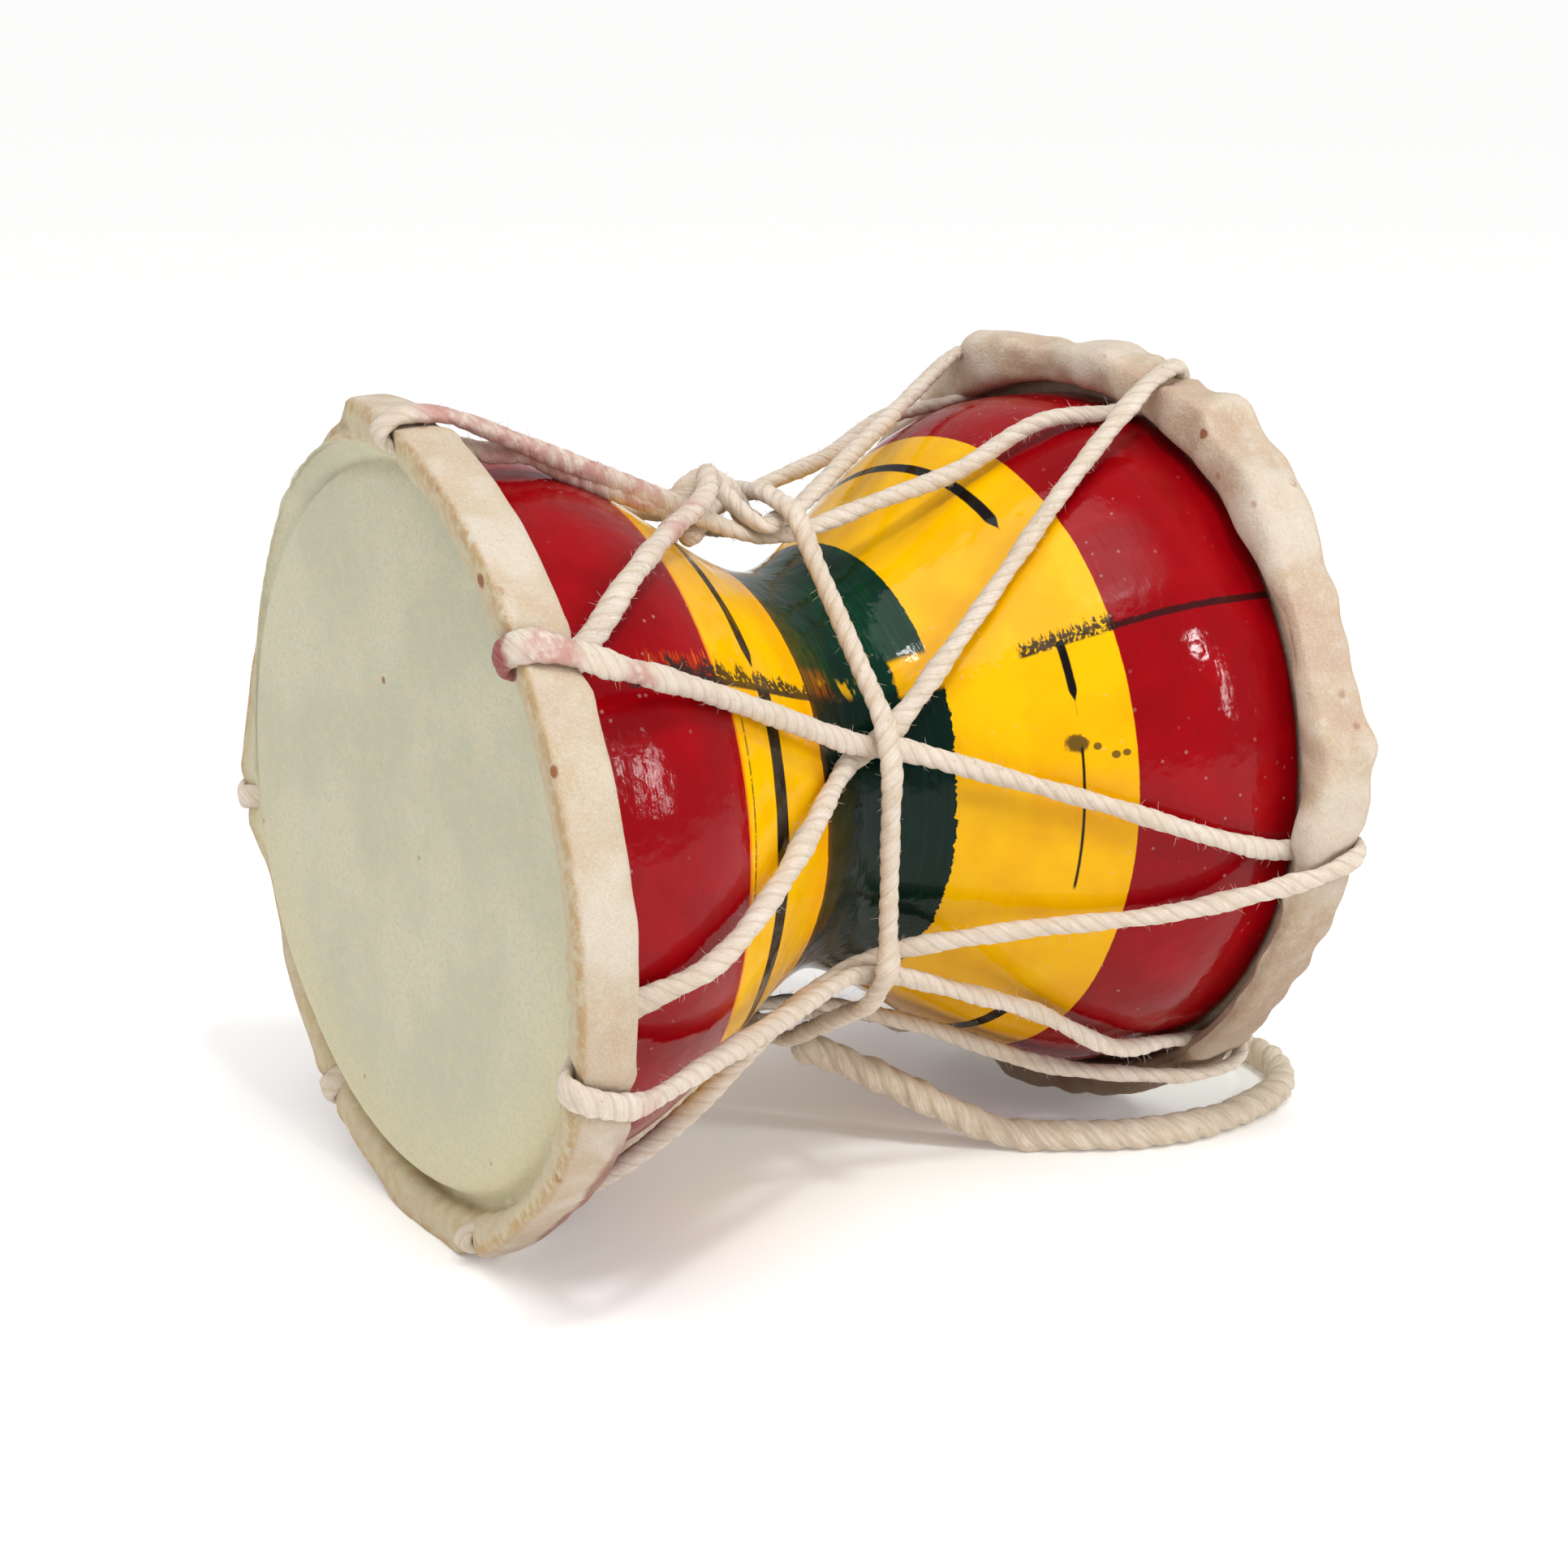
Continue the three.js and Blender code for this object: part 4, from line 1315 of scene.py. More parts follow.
@dataclass
class Lacing:
    """One closed loop of soft cord that runs to and fro between the heads.

    Attributes:
        front: The front head.
        back: The back head.
        crossings: Where its lines cross at the waist.
        cord_r: Half thickness that is kept clear of the wood.
        front_r: Half thickness of the runs on the front bell.
        back_r: Half thickness of the runs on the back bell.
        lap_size: Half width and half thickness of the laps, at the front and at the back.
        ring_rise: How far the waist cord stands above the crossings.
        cross_wide: Half width where the lines are bound.
        cross_thick: Half thickness there.
        stand_off: How far a lap's middle stands off the skin.
        swell_share: Share of the hoop's swelling that a lap follows.
        foot_press: How much closer a lap lies where the hoop meets the floor.
        foot_reach: Degrees from the lowest place within which a lap is pressed.
        lap_lead: Distance behind the hoop where each lap starts and ends.
        hole_depth: Distance behind the rim of the cord's place inside the skin.
        hole_edge: Distance behind the rim of the hole's edge.
        lap_turn: Distance behind the rim where the lap has turned its corner.
        lap_tail: Distance before the hoop's inner side where the lap starts to fall.
        lap_fall: How far the cord falls behind the hoop.
        cross_flat: Half length of the flattened stretch at a crossing.
        body_clear: Gap between the runs and the wood.
        run_stations: Stations of a run from a lap to a crossing.
        long_run_stations: Stations of a run from a crossing to a lap.
        knotted: Waypoints of the lines that the waist knot takes up, by the hole that they lead to.
    """

    front: SkinHead
    back: SkinHead
    crossings: tuple[Crossing, ...]
    cord_r: float = 1.8
    front_r: float = 1.55
    back_r: float = 1.36
    lap_size: tuple[tuple[float, float], tuple[float, float]] = ((2.1, 1.05), (1.65, 1.05))
    ring_rise: float = 1.3
    cross_wide: float = 1.75
    cross_thick: float = 1.05
    stand_off: float = 0.45
    swell_share: float = 0.6
    foot_press: float = 1.6
    foot_reach: float = 24.0
    lap_lead: float = 2.0
    hole_depth: float = 4.5
    hole_edge: float = 0.9
    lap_turn: float = 1.5
    lap_tail: float = 1.0
    lap_fall: float = 0.9
    cross_flat: float = 3.4
    body_clear: float = 1.2
    run_stations: int = 2
    long_run_stations: int = 3
    knotted: dict[int, tuple[tuple[float, float, float], ...]] = field(default_factory=knot_detours)

    def lap(self, head: SkinHead, hole: int) -> list[np.ndarray]:
        """The cord's way at one hole: out through the skin, over the rim and back outside the hoop."""
        angle = head.holes[hole]
        inside_turn, under = head.insides[hole]
        slew = head.slews[hole]
        press = self.foot_press if abs(angle - 180) < self.foot_reach else 0.0
        swell = self.swell_share * float(head.swell(np.array([angle]))[0])
        over = DRUM.hoop_r + self.stand_off - press + swell
        shift = head.lean_at(angle) - float(head.sink(np.array([angle]))[0])
        rim = head.rim - float(head.dip(np.array([angle]))[0])
        tip = head.tips[hole]
        wide, thick = self.lap_size[0 if head.direction < 0 else 1]
        way = [
            (head.rear - self.lap_lead, under, 0, inside_turn),
            (rim - self.hole_depth, 0.5 * (under + tip), 0, 0.6 * slew + 0.4 * inside_turn),
            (rim - self.hole_edge, tip, 0, slew),
            (rim + self.stand_off, tip + 0.5 * (over - tip), 0, slew),
            (rim - self.lap_turn, over, 1, slew),
            (head.rear + self.lap_tail, over, 1, slew),
            (head.rear - self.lap_lead, over - self.lap_fall, 1, slew),
        ]
        out = []
        for u, r, outside, aside in way:
            turned = angle + aside + outside * float(head.drift(hole, np.array([u]))[0])
            place = DRUM.polar(head.direction * (u + shift), r, turned)
            out.append(station(place, DRUM.beside(turned), wide, thick))
        return out

    def run(self, start: np.ndarray, end: np.ndarray, count: int) -> list[np.ndarray]:
        """Straight run between two stations, lifted where it would cut into the wood."""
        out = []
        for k in range(1, count + 1):
            place = start[:3] + (end[:3] - start[:3]) * k / (count + 1)
            u = place[0] - DRUM.waist_x
            angle = np.degrees(np.arctan2(DRUM.axis_y - place[1], place[2] - DRUM.axis_z))
            r = float(np.hypot(place[1] - DRUM.axis_y, place[2] - DRUM.axis_z))
            clear = float(DRUM.outer(u)) + self.cord_r + self.body_clear
            size = self.front_r if u < 0 else self.back_r
            out.append(station(DRUM.polar(u, max(r, clear), angle), DRUM.beside(angle), size, size))
        return out

    def bound(self, crossing: Crossing, slope: float, above: bool, heading: int) -> list[np.ndarray]:
        """Flattened stretch of a line where it is bound at a crossing."""
        r = DRUM.waist_r + crossing.lift + (2 * self.cross_thick + DRUM.gap if above else 0.0)
        out = []
        for step in (-heading, 0, heading):
            angle = crossing.angle + slope * step * self.cross_flat
            place = DRUM.polar(crossing.u + step * self.cross_flat, r, angle)
            out.append(station(place, DRUM.beside(angle), self.cross_wide, self.cross_thick))
        return out

    def stations(self) -> np.ndarray:
        """Every station of the loop, hole after hole in the order that the cord takes."""
        count = len(self.front.holes)
        out: list[np.ndarray] = []
        hole = 0
        for _ in range(count):
            going = self.crossings[hole]
            front_angle = nearest(self.front.holes[hole], going.angle)
            back_angle = nearest(self.back.holes[hole], going.angle)
            slope = (back_angle - front_angle) / (2 * DRUM.half)
            start = self.lap(self.front, hole)
            far = self.lap(self.back, hole)
            first = self.bound(going, slope, hole != 0, 1)
            out += start + self.run(start[-1], first[0], self.run_stations) + first
            out += self.run(first[-1], far[0], self.long_run_stations) + far
            coming = self.crossings[(hole + 1) % count]
            following = (hole + 2) % count
            leaving = nearest(self.back.holes[hole], coming.angle)
            arriving = nearest(self.front.holes[following], coming.angle)
            second = self.bound(coming, (leaving - arriving) / (2 * DRUM.half), hole + 1 == count, -1)
            home = self.lap(self.front, following)
            out += self.run(far[-1], second[0], self.run_stations) + second
            by_knot = self.knotted.get(following)
            if by_knot is None:
                out += self.run(second[-1], home[0], self.long_run_stations)
            else:
                for u, r, angle in by_knot:
                    side = DRUM.beside(angle)
                    out.append(station(DRUM.polar(u, r, angle), side, self.front_r, self.front_r))
                out += self.run(out[-1], home[0], self.run_stations)
            hole = following
        return np.array(out)

    def build(self) -> tuple[bpy.types.Object, bpy.types.Object]:
        """Twists the cord along its stations and lets fine hairs stand off it."""
        make = CordMake(plies=3, pitch=8.0, groove=0.1, sides=18, step=0.5, swell=0.07)
        points, at, middle = make.surface(self.stations(), closed=True)
        points[..., 2] = np.maximum(points[..., 2], 0.0)
        finish = Cotton("lacing_cotton", pitch=8.0, spots=PINK_STAINS, deep_spots=RED_TIP).material()
        piece = mesh_of("laced_cord", points, finish, True, at)
        fluff = Fluff("laced_cord_fluff", 8200, 61).build(points, middle, finish, Slot.LACING)
        return settle(piece, Slot.LACING, "lacing"), fluff


@dataclass(frozen=True)
class Fluff:
    """Fine hairs that stand off a cotton cord.

    Attributes:
        name: The piece's name.
        count: Number of hairs.
        seed: Start of the random numbers.
        longest: Length of the longest hair.
        thick: Radius of a hair at its root.
    """

    name: str
    count: int
    seed: int
    longest: float = 1.5
    thick: float = 0.035

    def build(
        self, points: np.ndarray, middle: np.ndarray, finish: bpy.types.Material, slot: Slot
    ) -> bpy.types.Object:
        """Grows the hairs.

        Each hair is a thin pyramid chain of three rings of three points. It leaves a random place
        of the cord along a blend of the outward direction, the cord's direction and chance, and
        curls by the square of the distance along it.

        Args:
            points: Rings of the cord's surface.
            middle: The cord's centreline.
            finish: The cord's material.
            slot: The record's slot.

        Returns:
            The hairs, as one piece.
        """
        dice = np.random.default_rng(self.seed)
        ring = dice.integers(2, points.shape[0] - 2, self.count)
        side = dice.integers(0, points.shape[1], self.count)
        root = points[ring, side]
        outward = unit(root - middle[ring])
        along = unit(middle[(ring + 1) % len(middle)] - middle[ring - 1])
        chance = unit(dice.normal(size=(self.count, 3)))
        way = unit(0.55 * outward + along * dice.uniform(-1, 1, (self.count, 1)) + 0.5 * chance)
        curl = unit(dice.normal(size=(self.count, 3))) * dice.uniform(0.1, 0.5, (self.count, 1))
        reach = self.longest * dice.uniform(0.25, 1.0, (self.count, 1)) ** 1.6
        across = unit(np.cross(way, chance))
        upright = np.cross(way, across)
        turn = 2 * np.pi * np.arange(3) / 3
        share = np.array([0.0, 0.55, 1.0])
        spine = root[:, None] - 0.1 * outward[:, None] + reach[:, None] * (
            way[:, None] * share[None, :, None] + curl[:, None] * share[None, :, None] ** 2
        )
        width = self.thick * np.array([1.0, 0.75, 0.3])[None, :, None, None]
        spoke = across[:, None, None] * np.cos(turn)[None, None, :, None]
        spoke = spoke + upright[:, None, None] * np.sin(turn)[None, None, :, None]
        hairs = spine[:, :, None] + width * spoke
        hairs[..., 2] = np.maximum(hairs[..., 2], 0.01)
        base = (np.arange(self.count) * 9)[:, None]
        low = np.array([0, 1, 2, 3, 4, 5])
        beside = (low // 3) * 3 + (low + 1) % 3
        quads = np.stack([low, low + 3, beside + 3, beside], axis=1)
        faces = (base[:, :, None] + quads[None]).reshape(-1, 4).tolist()
        ends = np.array([[0, 1, 2], [8, 7, 6]])
        faces += (base[:, :, None] + ends[None]).reshape(-1, 3).tolist()
        mesh = bpy.data.meshes.new(self.name)
        mesh.from_pydata((hairs.reshape(-1, 3) * MM).tolist(), [], faces)
        layer = mesh.uv_layers.new(name="Course")
        layer.data.foreach_set("uv", np.zeros(len(mesh.loops) * 2, np.float32))
        mesh.polygons.foreach_set("use_smooth", np.ones(len(mesh.polygons), bool))
        mesh.materials.append(finish)
        mesh.update()
        return settle(placed(self.name, mesh), slot)


def nearest(angle: float, reference: float) -> float:
    """The angle, moved by whole turns to lie nearest the reference."""
    return angle + 360 * round((reference - angle) / 360)


PINK_STAINS = (
    (-58.0, -14.0, 58.5, 6.0),
    (-48.0, -13.0, 55.0, 6.0),
    (-38.0, -12.0, 51.0, 5.5),
    (-28.0, -11.0, 46.5, 4.0),
    (-37.0, -29.0, 37.3, 4.5),
    (-30.5, -23.5, 40.0, 4.5),
    (-25.0, -18.5, 42.5, 3.0),
    (-64.0, -50.0, 34.0, 4.0),
    (-52.0, -48.0, 28.0, 4.0),
    (-55.0, -52.0, -24.0, 4.0),
)
RED_TIP = ((-69.0, -45.2, 32.6, 3.5),)


@dataclass
class WaistCord:
    """Cord tied round the waist over the lacing's crossings, with its knot.

    Attributes:
        lacing: The lacing that it binds.
        spread: Degrees on each side of a crossing where the ring lies level.
        wide: Half width over a crossing.
        thick: Half thickness over a crossing.
        slim: Half thickness between crossings.
        knot_offset: Distance of the knot's middle from the top crossing, toward the front.
        knot_angle: Angle of the knot's middle.
        knot_lift: Height of the knot's middle above the wood.
        knot_wide: Half width of the knot's cord.
        knot_thick: Half thickness of the knot's cord.
    """

    lacing: Lacing
    spread: float = 5.0
    wide: float = 1.75
    thick: float = 1.25
    slim: float = 1.4
    knot_offset: float = 7.4
    knot_angle: float = 4.0
    knot_lift: float = 12.4
    knot_wide: float = 1.7
    knot_thick: float = 1.6

    def ring(self) -> np.ndarray:
        """Stations of the ring: over each crossing, and straight or laid on the waist between."""
        part = self.lacing
        over = 3 * part.cross_thick + 2 * DRUM.gap + part.ring_rise
        side = np.array([1.0, 0.0, 0.0])
        out: list[np.ndarray] = []
        for k, crossing in enumerate(part.crossings):
            following = part.crossings[(k + 1) % len(part.crossings)]
            r = DRUM.waist_r + crossing.lift + over
            here = station(DRUM.polar(crossing.u, r, crossing.angle), side, self.wide, self.thick)
            leave = here.copy()
            leave[:3] = DRUM.polar(crossing.u, r, crossing.angle + self.spread)
            reach = here.copy()
            reach[:3] = DRUM.polar(
                following.u, DRUM.waist_r + following.lift + over, following.angle - self.spread
            )
            between = part.run(leave, reach, part.long_run_stations)
            for row in between:
                row[3:6] = side
                row[6:8] = self.slim
            out += [here, leave, *between, reach]
        return np.array(out)

    def knot(self) -> np.ndarray:
        """Stations of the knot: an arch over the crossing that dives, turns back and tucks in."""
        middle = DRUM.polar(
            self.lacing.crossings[0].u - self.knot_offset, DRUM.waist_r + self.knot_lift, self.knot_angle
        )
        way = np.array(
            [
                (8.6, -1.0, -4.4),
                (5.8, -0.8, -2.8),
                (4.2, -0.4, 0.0),
                (1.8, 0.0, 2.4),
                (-1.2, 0.0, 3.0),
                (-4.0, 0.2, 1.4),
                (-5.2, 1.0, -1.6),
                (-3.0, 2.6, -3.2),
                (0.4, 3.0, -2.2),
                (2.4, 1.4, -1.0),
                (0.8, -1.4, -0.2),
                (-2.2, -3.0, -1.2),
                (-4.8, -4.4, -3.4),
                (-7.4, -5.4, -4.6),
            ]
        )
        side = np.array([0.3, 1.0, 0.2])
        return np.array([station(middle + place, side, self.knot_wide, self.knot_thick) for place in way])

    def build(self) -> tuple[bpy.types.Object, ...]:
        """Twists the ring, ties the knot and lets hairs stand off both."""
        make = CordMake(plies=3, pitch=7.5, groove=0.13, sides=20, step=0.45, seed=21)
        finish = Cotton("waist_cotton", pitch=7.5, dirtiness=0.45).material()
        points, at, middle = make.surface(self.ring(), closed=True)
        ring = settle(mesh_of("waist_ring", points, finish, True, at), Slot.WAIST_CORD, "waist_cord")
        fluff = Fluff("waist_ring_fluff", 900, 71).build(points, middle, finish, Slot.WAIST_CORD)
        points, at, middle = make.surface(self.knot(), closed=False)
        knot = settle(mesh_of("waist_knot", points, finish, False, at), Slot.WAIST_CORD, "waist_cord")
        knot_fluff = Fluff("waist_knot_fluff", 350, 81).build(points, middle, finish, Slot.WAIST_CORD)
        return ring, fluff, knot, knot_fluff


@dataclass
class StrikerCord:
    """Loose thicker cord that leaves the waist's underside and ends in a knot on the floor.

    Attributes:
        diameter_m: Thickness of the cord.
        knot_r: Radius of the knot.
        knot_flat: How far the knot's middle is lowered, so that its foot lies flat.
        gap: Clearance between the route's end and the knot.
        tuck: How far the cord runs on into the knot.
        tuck_rise: How far it rises there.
        winds: Times that the knot's strand rises and falls.
        swing: Times that it goes round.
        knot_points: Stations of the knot.
        breathing: Share of the radius by which the strand swings in and out.
        squash: Height of the knot as a share of its width.
        strand: Half width and half thickness of the knot's strand.
        finish: The cord's material.
        route_m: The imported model's route.
    """

    diameter_m: float = 0.0048
    knot_r: float = 6.5
    knot_flat: float = 0.3
    gap: float = 0.3
    tuck: float = 3.6
    tuck_rise: float = 1.2
    winds: int = 3
    swing: int = 2
    knot_points: int = 60
    breathing: float = 0.22
    squash: float = 0.72
    strand: tuple[float, float] = (2.5, 2.3)
    finish: Cotton = Cotton(
        "striker_cotton", pitch=13.0, pale=tone(240, 226, 208), shade=tone(220, 202, 180), dirtiness=0.5
    )
    route_m: tuple[tuple[float, float, float], ...] = (
        (0.0043, -0.0020, 0.0168),
        (0.0083, -0.0044, 0.0154),
        (0.0127, -0.0072, 0.0132),
        (0.0177, -0.0104, 0.0104),
        (0.0235, -0.0144, 0.0068),
        (0.0287, -0.0183, 0.0038),
        (0.0333, -0.0217, 0.00245),
        (0.0399, -0.0263, 0.00245),
        (0.0489, -0.0311, 0.00245),
        (0.0599, -0.0331, 0.00245),
        (0.0719, -0.0313, 0.00245),
        (0.0819, -0.0265, 0.00245),
        (0.0879, -0.0185, 0.00245),
        (0.0895, -0.0079, 0.00245),
        (0.0875, 0.0031, 0.00245),
        (0.0829, 0.0131, 0.00245),
    )

    def cord(self) -> tuple[bpy.types.Object, np.ndarray]:
        """Twists the cord along its route.

        Returns:
            The piece and its centreline in metres.
        """
        route = np.array(self.route_m) / MM
        tucked = route[-1] + unit(route[-1] - route[-2]) * self.tuck + [0.0, 0.0, self.tuck_rise]
        route = np.concatenate([route, tucked[None]])
        radius = 0.5 * self.diameter_m / MM
        ahead = unit(np.gradient(route, axis=0))
        side = unit(np.cross(ahead, [0.0, 0.0, 1.0]))
        sizes = np.full((len(route), 2), radius)
        make = CordMake(plies=3, pitch=13.0, groove=0.2, sides=28, step=0.45, swell=0.045, seed=31)
        points, at, middle = make.surface(np.concatenate([route, side, sizes], axis=1), closed=False)
        points[..., 2] = np.maximum(points[..., 2], 0.02)
        finish = self.finish.material()
        piece = mesh_of("striker", points, finish, False, at)
        Fluff("striker_fluff", 700, 91).build(points, middle, finish, Slot.STRIKER_CORD)
        return settle(piece, Slot.STRIKER_CORD, "striker_cord"), middle * MM

    def knot(self) -> bpy.types.Object:
        """Ties the end knot.

        Its course winds three times round a ball: the turn angle grows evenly while the height
        angle swings, so the strands cross, and it starts in line with the cord.

        Returns:
            The knot.
        """
        route = np.array(self.route_m) / MM
        heading = unit(route[-1] - route[-2])
        middle = route[-1] + heading * (self.knot_r + self.gap)
        middle[2] = self.knot_r - self.knot_flat
        sweep = np.linspace(0, 2 * np.pi, self.knot_points, endpoint=False)
        core = self.knot_r - self.strand[0]
        radial = core * (1 - self.breathing + self.breathing * np.cos(self.winds * sweep))
        flat = np.stack([np.cos(self.swing * sweep), np.sin(self.swing * sweep)], axis=1) * radial[:, None]
        height = self.squash * core * np.sin(self.winds * sweep)
        side_way = np.array([-heading[1], heading[0], 0.0])
        way = middle + flat[:, 0:1] * heading + flat[:, 1:2] * side_way + height[:, None] * [0, 0, 1]
        outward = unit(way - middle)
        ahead = unit(np.roll(way, -1, axis=0) - np.roll(way, 1, axis=0))
        side = unit(np.cross(outward, ahead))
        sizes = np.tile(self.strand, (len(way), 1))
        make = CordMake(plies=3, pitch=13.0, groove=0.24, sides=24, step=0.5, seed=41)
        points, at, _ = make.surface(np.concatenate([way, side, sizes], axis=1), closed=True)
        points[..., 2] = np.maximum(points[..., 2], 0.0)
        piece = mesh_of("striker_end_knot", points, self.finish.material(), True, at)
        return settle(piece, Slot.STRIKER_KNOT, "striker_knot")

    def build(self) -> bpy.types.Object:
        piece, line = self.cord()
        knot = self.knot()
        line[::4].tolist() + [line[-1].tolist()]
        return piece


AIM_M = (0.0, 0.0, 0.06)


def away_from_drum(azimuth: float, elevation: float) -> np.ndarray:
    """Unit direction away from the drum; azimuth 0 is on the viewer's side, growing toward +X."""
    az, el = np.radians([azimuth, elevation])
    return np.array([np.sin(az) * np.cos(el), -np.cos(az) * np.cos(el), np.sin(el)])


@dataclass(frozen=True)
class SoftBox:
    """One soft studio light, aimed at the drum."""

    name: str
    azimuth: float
    elevation: float
    distance_m: float
    size_m: tuple[float, float]
    watts: float

    def build(self) -> bpy.types.Object:
        """Makes the area light."""
        back = away_from_drum(self.azimuth, self.elevation)
        lamp = bpy.data.lights.new(self.name, "AREA")
        lamp.shape = "RECTANGLE"
        lamp.size, lamp.size_y = self.size_m
        lamp.energy = self.watts
        light = placed(self.name, lamp)
        light.matrix_world = facing(back, np.array(AIM_M) + back * self.distance_m)
        return light


def facing(back: np.ndarray, place: np.ndarray, roll: float = 0.0) -> Matrix:
    """Placement of a camera or lamp.

    Args:
        back: Unit direction from the target to it.
        place: Its place in metres.
        roll: Degrees that its own axes are turned about the view.

    Returns:
        The matrix, whose -Z looks along -back.
    """
    right = unit(np.cross([0.0, 0.0, 1.0], back))
    up = np.cross(back, right)
    turn = np.radians(roll)
    right, up = np.cos(turn) * right + np.sin(turn) * up, np.cos(turn) * up - np.sin(turn) * right
    matrix = np.eye(4)
    matrix[:3, :4] = np.stack([right, up, back, place], axis=1)
    return Matrix(matrix.tolist())


@dataclass
class Studio:
    """Camera, floor and light.

    Attributes:
        azimuth: Degrees of the camera round the drum from the viewer's side toward +X.
        elevation: Degrees of the camera above the floor.
        roll: Degrees that the camera is turned about its view.
        distance_m: Distance from the target.
        target_m: Place that the camera looks at.
        focal_px: Focal length in pixels of the photograph.
        image_px: Width of the photograph in pixels.
        sensor_mm: Width of the camera's sensor.
        floor_half_m: Half size of the floor.
        ambient: Strength of the even light all round.
        lights: The soft boxes.
        sky_azimuth: Degrees of the broad light round the drum.
        sky_elevation: Degrees of the broad light above the floor.
        sky_spread: Degrees over which the broad light is spread.
        sky_strength: Strength of the broad light.
    """

    azimuth: float = -33.37
    elevation: float = 14.38
    roll: float = 0.07
    distance_m: float = 0.45928
    target_m: tuple[float, float, float] = (0.00419, -0.00030, 0.05725)
    focal_px: float = 3795.64
    image_px: float = 1932.0
    sensor_mm: float = 36.0
    floor_half_m: float = 300.0
    ambient: float = 0.46
    lights: tuple[SoftBox, ...] = (
        SoftBox("overhead_box", -14.0, 61.0, 0.9, (0.115, 0.1), 2.0),
        SoftBox("window_box", 19.0, 31.0, 1.2, (0.1, 0.09), 2.1),
        SoftBox("side_window_box", 31.0, 17.5, 1.2, (0.04, 0.32), 2.0),
    )
    sky_azimuth: float = -50.0
    sky_elevation: float = 66.0
    sky_spread: float = 50.0
    sky_strength: float = 1.4

    def camera(self) -> bpy.types.Object:
        """Makes the camera from the fitted angles, distance and focal length."""
        back = away_from_drum(self.azimuth, self.elevation)
        lens = bpy.data.cameras.new("photo_camera")
        lens.sensor_width = self.sensor_mm
        lens.lens = self.focal_px * self.sensor_mm / self.image_px
        lens.clip_start, lens.clip_end = 0.01, 1000
        camera = placed("photo_camera", lens)
        camera.matrix_world = facing(back, np.array(self.target_m) + back * self.distance_m, self.roll)
        bpy.context.scene.camera = camera
        return camera

    def floor(self) -> bpy.types.Object:
        """Pale floor, one flat square that reaches past everything that the camera sees."""
        half = self.floor_half_m
        corners = [(-half, -half, 0.0), (half, -half, 0.0), (half, half, 0.0), (-half, half, 0.0)]
        mesh = bpy.data.meshes.new("studio_floor")
        mesh.from_pydata(corners, [], [(0, 1, 2, 3)])
        mesh.materials.append(PaleFloor().material())
        floor = placed("studio_floor", mesh)
        return floor

    def sky_panel(self) -> bpy.types.Object:
        """Broad light from above, the same at every distance, so the floor stays evenly pale."""
        back = away_from_drum(self.sky_azimuth, self.sky_elevation)
        lamp = bpy.data.lights.new("sky_panel", "SUN")
        lamp.energy = self.sky_strength
        lamp.angle = np.radians(self.sky_spread)
        light = placed("sky_panel", lamp)
        light.matrix_world = facing(back, back)
        return light

    def build(self) -> None:
        """Sets up the camera, floor, lights and the even light all round."""
        self.camera()
        self.floor()
        self.sky_panel()
        for box in self.lights:
            box.build()
        world = bpy.data.worlds.new("studio_world")
        world.use_nodes = True
        sky = world.node_tree.nodes["Background"]
        sky.inputs["Color"].default_value = (1.0, 1.0, 1.0, 1.0)
        seen = world.node_tree.nodes.new("ShaderNodeLightPath")
        level = world.node_tree.nodes.new("ShaderNodeMapRange")
        level.inputs["To Min"].default_value = self.ambient
        world.node_tree.links.new(seen.outputs["Is Camera Ray"], level.inputs["Value"])
        world.node_tree.links.new(level.outputs["Result"], sky.inputs["Strength"])
        bpy.context.scene.world = world
        bpy.context.scene.view_settings.view_transform = "Standard"


def pulls(head_holes: tuple[float, ...], rim: float, ahead: int) -> tuple[float, ...]:
    """Slant of each outer cord on the hoop.

    Args:
        head_holes: Angles of the holes.
        rim: Distance of the hoop's outer edge from the waist.
        ahead: How many crossings past its own number each hole's outer cord runs to.

    Returns:
        Degrees that each cord moves toward its crossing per millimetre toward the waist. On the
        front head the angle grows evenly; on the back head it follows the straight line.
    """
    out = []
    bound = crossings()
    for k, hole in enumerate(head_holes):
        crossing = bound[(k + ahead) % len(bound)]
        reach = rim - abs(crossing.u)
        if ahead == 0:
            out.append((crossing.angle - nearest(hole, crossing.angle)) / reach)
            continue
        start = DRUM.polar(rim, DRUM.hoop_r, hole)
        end = DRUM.polar(crossing.u, DRUM.waist_r + crossing.lift, crossing.angle)
        aside = float(np.dot(end - start, DRUM.beside(hole)))
        out.append(float(np.degrees(aside / (DRUM.hoop_r * reach))))
    return tuple(out)


FRONT_SWELLS = (
    (0, 0.0), (60, 0.2), (90, 0.0), (116, 0.6), (126, -0.3), (134, -1.1), (142, -1.8), (150, -1.5),
    (158, -0.4), (168, 0.6), (180, 0.4), (192, 0.9), (204, 0.2), (222, -0.3), (246, -0.8),
    (262, 0.3), (284, 0.0), (300, -1.2), (320, -2.4), (340, -2.4), (352, -1.0),
)
FRONT_DIPS = (
    (0, 0.4), (12, 0.0), (222, 0.0), (236, 0.8), (250, 2.2), (256, 1.2), (262, 0.6), (268, 1.2),
    (280, 3.2), (300, 4.4), (320, 4.6), (340, 4.2), (352, 2.0),
)
FRONT_SINKS = (
    (0, 0.4), (10, 0.0), (268, 0.0), (284, 1.0), (305, 3.0), (325, 3.4), (342, 2.8), (353, 1.4),
)
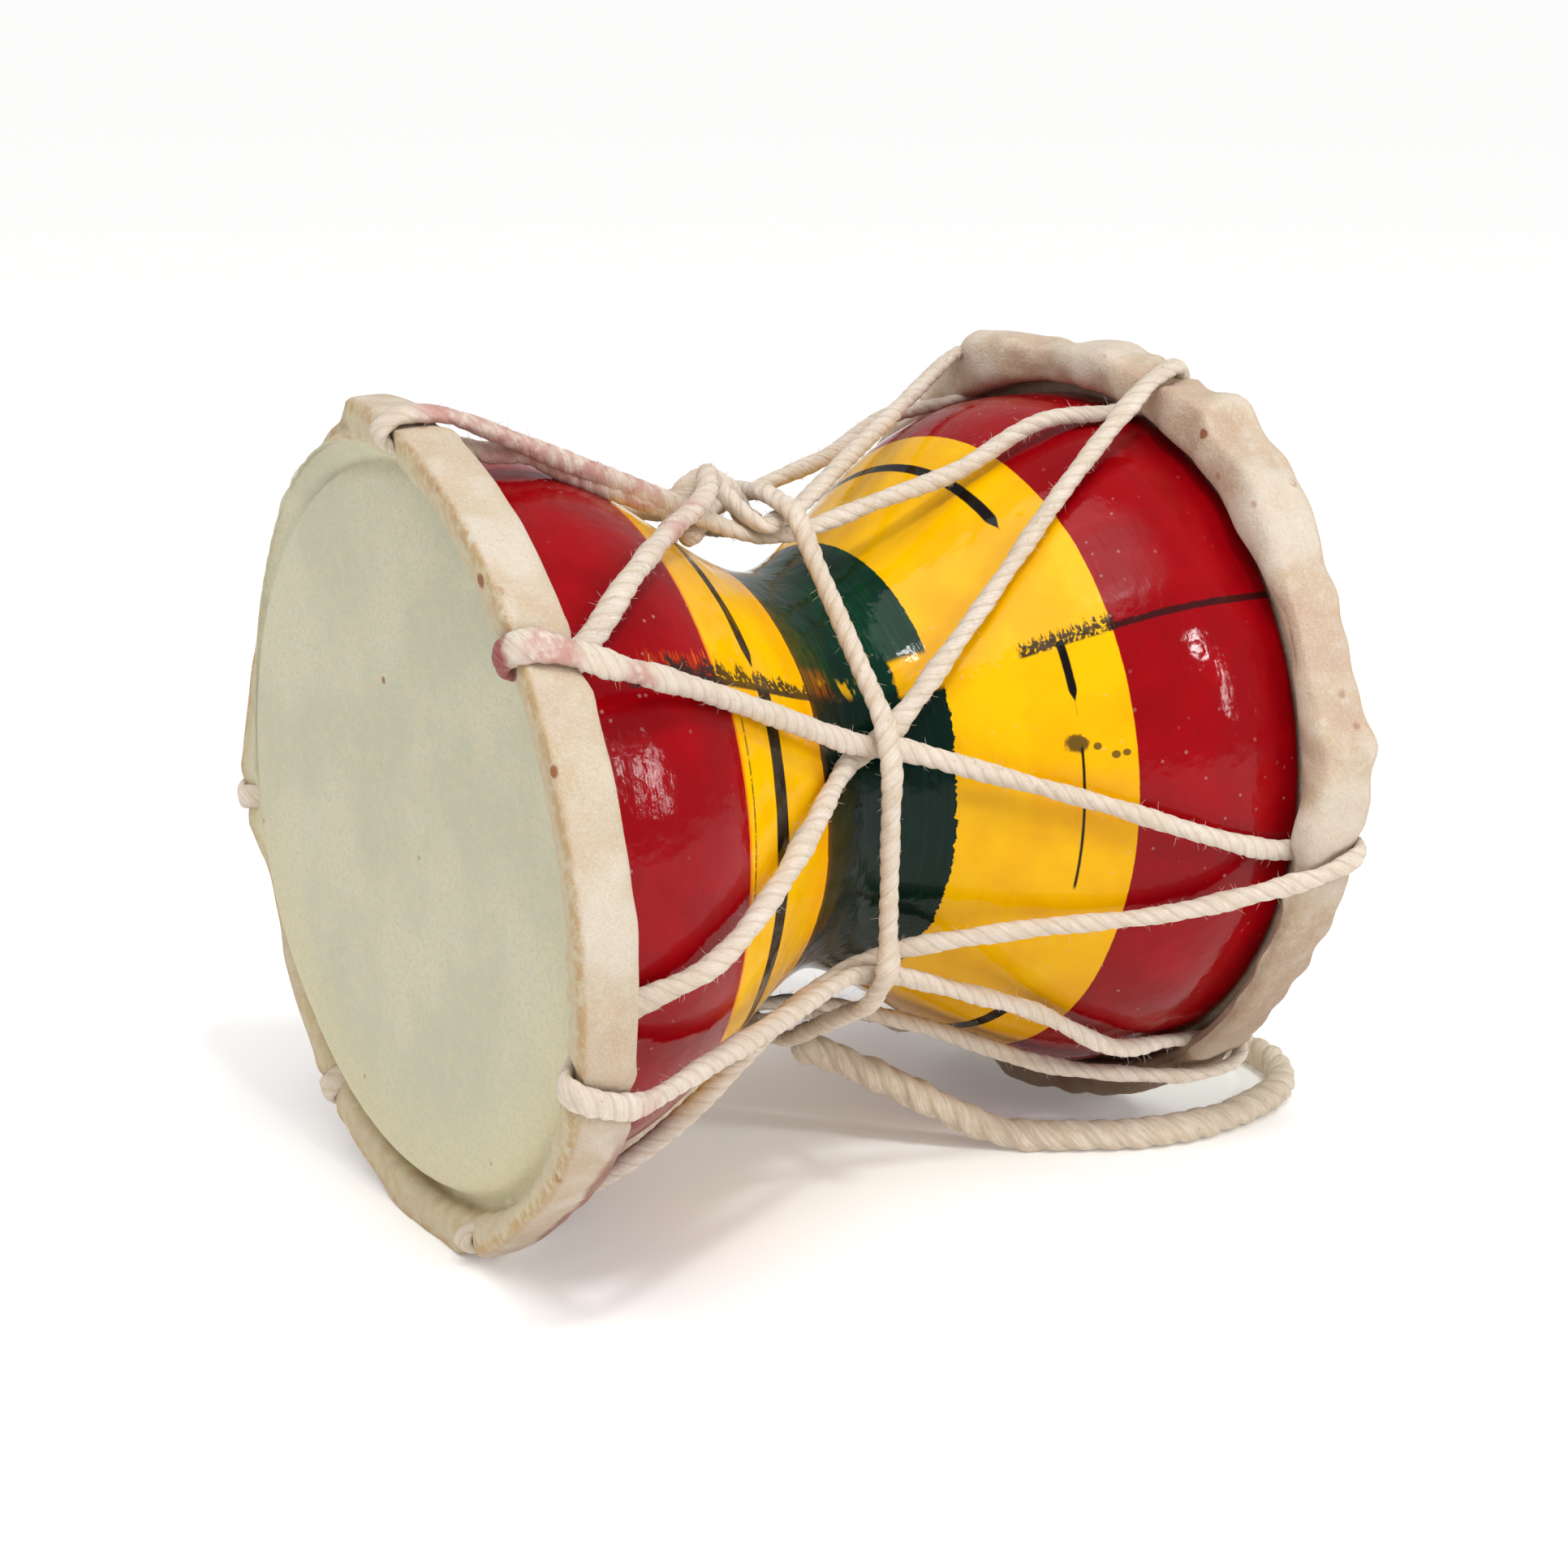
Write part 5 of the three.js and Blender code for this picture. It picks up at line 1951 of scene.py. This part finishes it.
BACK_SWELLS = (
    (0, -0.5), (12, 0.1), (20, 0.6), (25, 1.6), (30, 3.0), (36, 0.8), (42, 1.9), (48, 0.9),
    (54, -1.2), (66, -1.1), (72, -1.6), (78, -0.5), (84, 0.6), (90, -1.0), (98, -1.9), (114, -2.7),
    (140, -2.2), (172, -0.6), (188, -0.6), (230, -0.5), (300, 0.3), (318, -0.7), (324, -2.2),
    (330, -1.6), (336, 1.3), (342, 2.1), (348, 1.4), (354, -0.1),
)


def heads() -> tuple[SkinHead, SkinHead]:
    """The front and the back head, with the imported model's sizes."""
    front_holes = (13, 54, 105, 165, 214, 262, 318)
    back_holes = (17, 98.5, 142, 200, 244, 289, 335)
    front_rim, back_rim = 62.9, 61.1
    plain = (0.0, 52.0)
    even = ((0, 0.0), (180, 0.0))
    front = SkinHead(
        name="front_skin",
        node="front_head",
        slot=Slot.FRONT_HEAD,
        direction=-1,
        bell_r=DRUM.front_bell_r,
        rear=54.1,
        rim=front_rim,
        lean_near=3.4,
        lean_top=4.2,
        holes=front_holes,
        pulls=pulls(front_holes, front_rim, 0),
        lumps=0.15,
        seed=101,
        fold_depth=1.2,
        corner=0.75,
        swells=FRONT_SWELLS,
        tips=(56.8, 54.2, 56.0, 56.5, 56.0, 56.3, 56.0),
        dips=FRONT_DIPS,
        sinks=FRONT_SINKS,
        slews=(0.0, 0.0, 5.5, 0.0, 0.0, 0.0, 0.0),
        insides=((-3.0, 55.3), plain, plain, (-6.0, 55.5), plain, plain, plain),
        levels=((0, 0.0), (222, 0.0), (245, 1.0), (335, 1.0), (350, 0.0)),
        finish=RawSkin(
            "front_skin_finish",
            rear_stain=(120.0, 161.0),
            level_side=(238.0, 342.0),
            rust_spots=((-68.0, -40.0, 41.8, 0.9), (-67.6, -56.2, 21.0, 0.8), (-59.4, 6.1, 19.8, 0.5)),
            blotches=0.45,
            mottles=0.28,
            hollow_shade_share=0.25,
        ),
    )
    back = SkinHead(
        name="back_skin",
        node="back_head",
        slot=Slot.BACK_HEAD,
        direction=1,
        bell_r=DRUM.back_bell_r,
        rear=51.3,
        rim=back_rim,
        lean_near=4.2,
        lean_top=0.4,
        holes=back_holes,
        pulls=pulls(back_holes, back_rim, 1),
        lumps=0.62,
        seed=202,
        fold_depth=0.8,
        corner=1.1,
        swells=BACK_SWELLS,
        tips=(55.8, 55.0, 55.5, 56.0, 56.0, 56.0, 56.0),
        dips=even,
        sinks=even,
        slews=(0.0,) * len(back_holes),
        insides=((0.0, 53.8),) * len(back_holes),
        levels=even,
        finish=RawSkin(
            "back_skin_finish",
            lower_band_shade=0.8,
            rust_spots=((54.0, -33.1, 50.0, 0.7), (54.7, -44.2, 40.5, 0.5), (63.6, -30.5, 51.7, 0.7)),
            blotches=0.62,
            mottles=0.5,
            pinkness=0.55,
            hollow_shade_share=0.65,
        ),
        tucks=((31, 3.0, 59.0, 1.2), (83, 3.0, 60.0, 1.0), (-20, 4.0, 54.0, 0.8), (33, 1.6, 54.5, -1.0)),
    )
    return front, back


def crossings() -> tuple[Crossing, ...]:
    """The seven crossings, from the top toward the viewer and round."""
    return (
        Crossing(-4.8, 14, 8.6),
        Crossing(-3.4, 71.8, 2.7),
        Crossing(-2.6, 127, 6.2),
        Crossing(-0.5, 176, 5.7),
        Crossing(-0.5, 229, 4.2),
        Crossing(-0.5, 277, 3.2),
        Crossing(-0.5, 331, 9.2),
    )


def main() -> None:
    """Builds the camera, the cords, the drum and the studio."""
    logging.basicConfig(level=logging.INFO, format="%(name)s: %(message)s")
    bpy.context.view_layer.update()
    Studio().build()
    StrikerCord().build()
    front, back = heads()
    lacing = Lacing(front, back, crossings())
    lacing.build()
    WaistCord(lacing).build()
    PaintedBody().build()
    front.build()
    back.build()


if __name__ == "__main__":
    main()
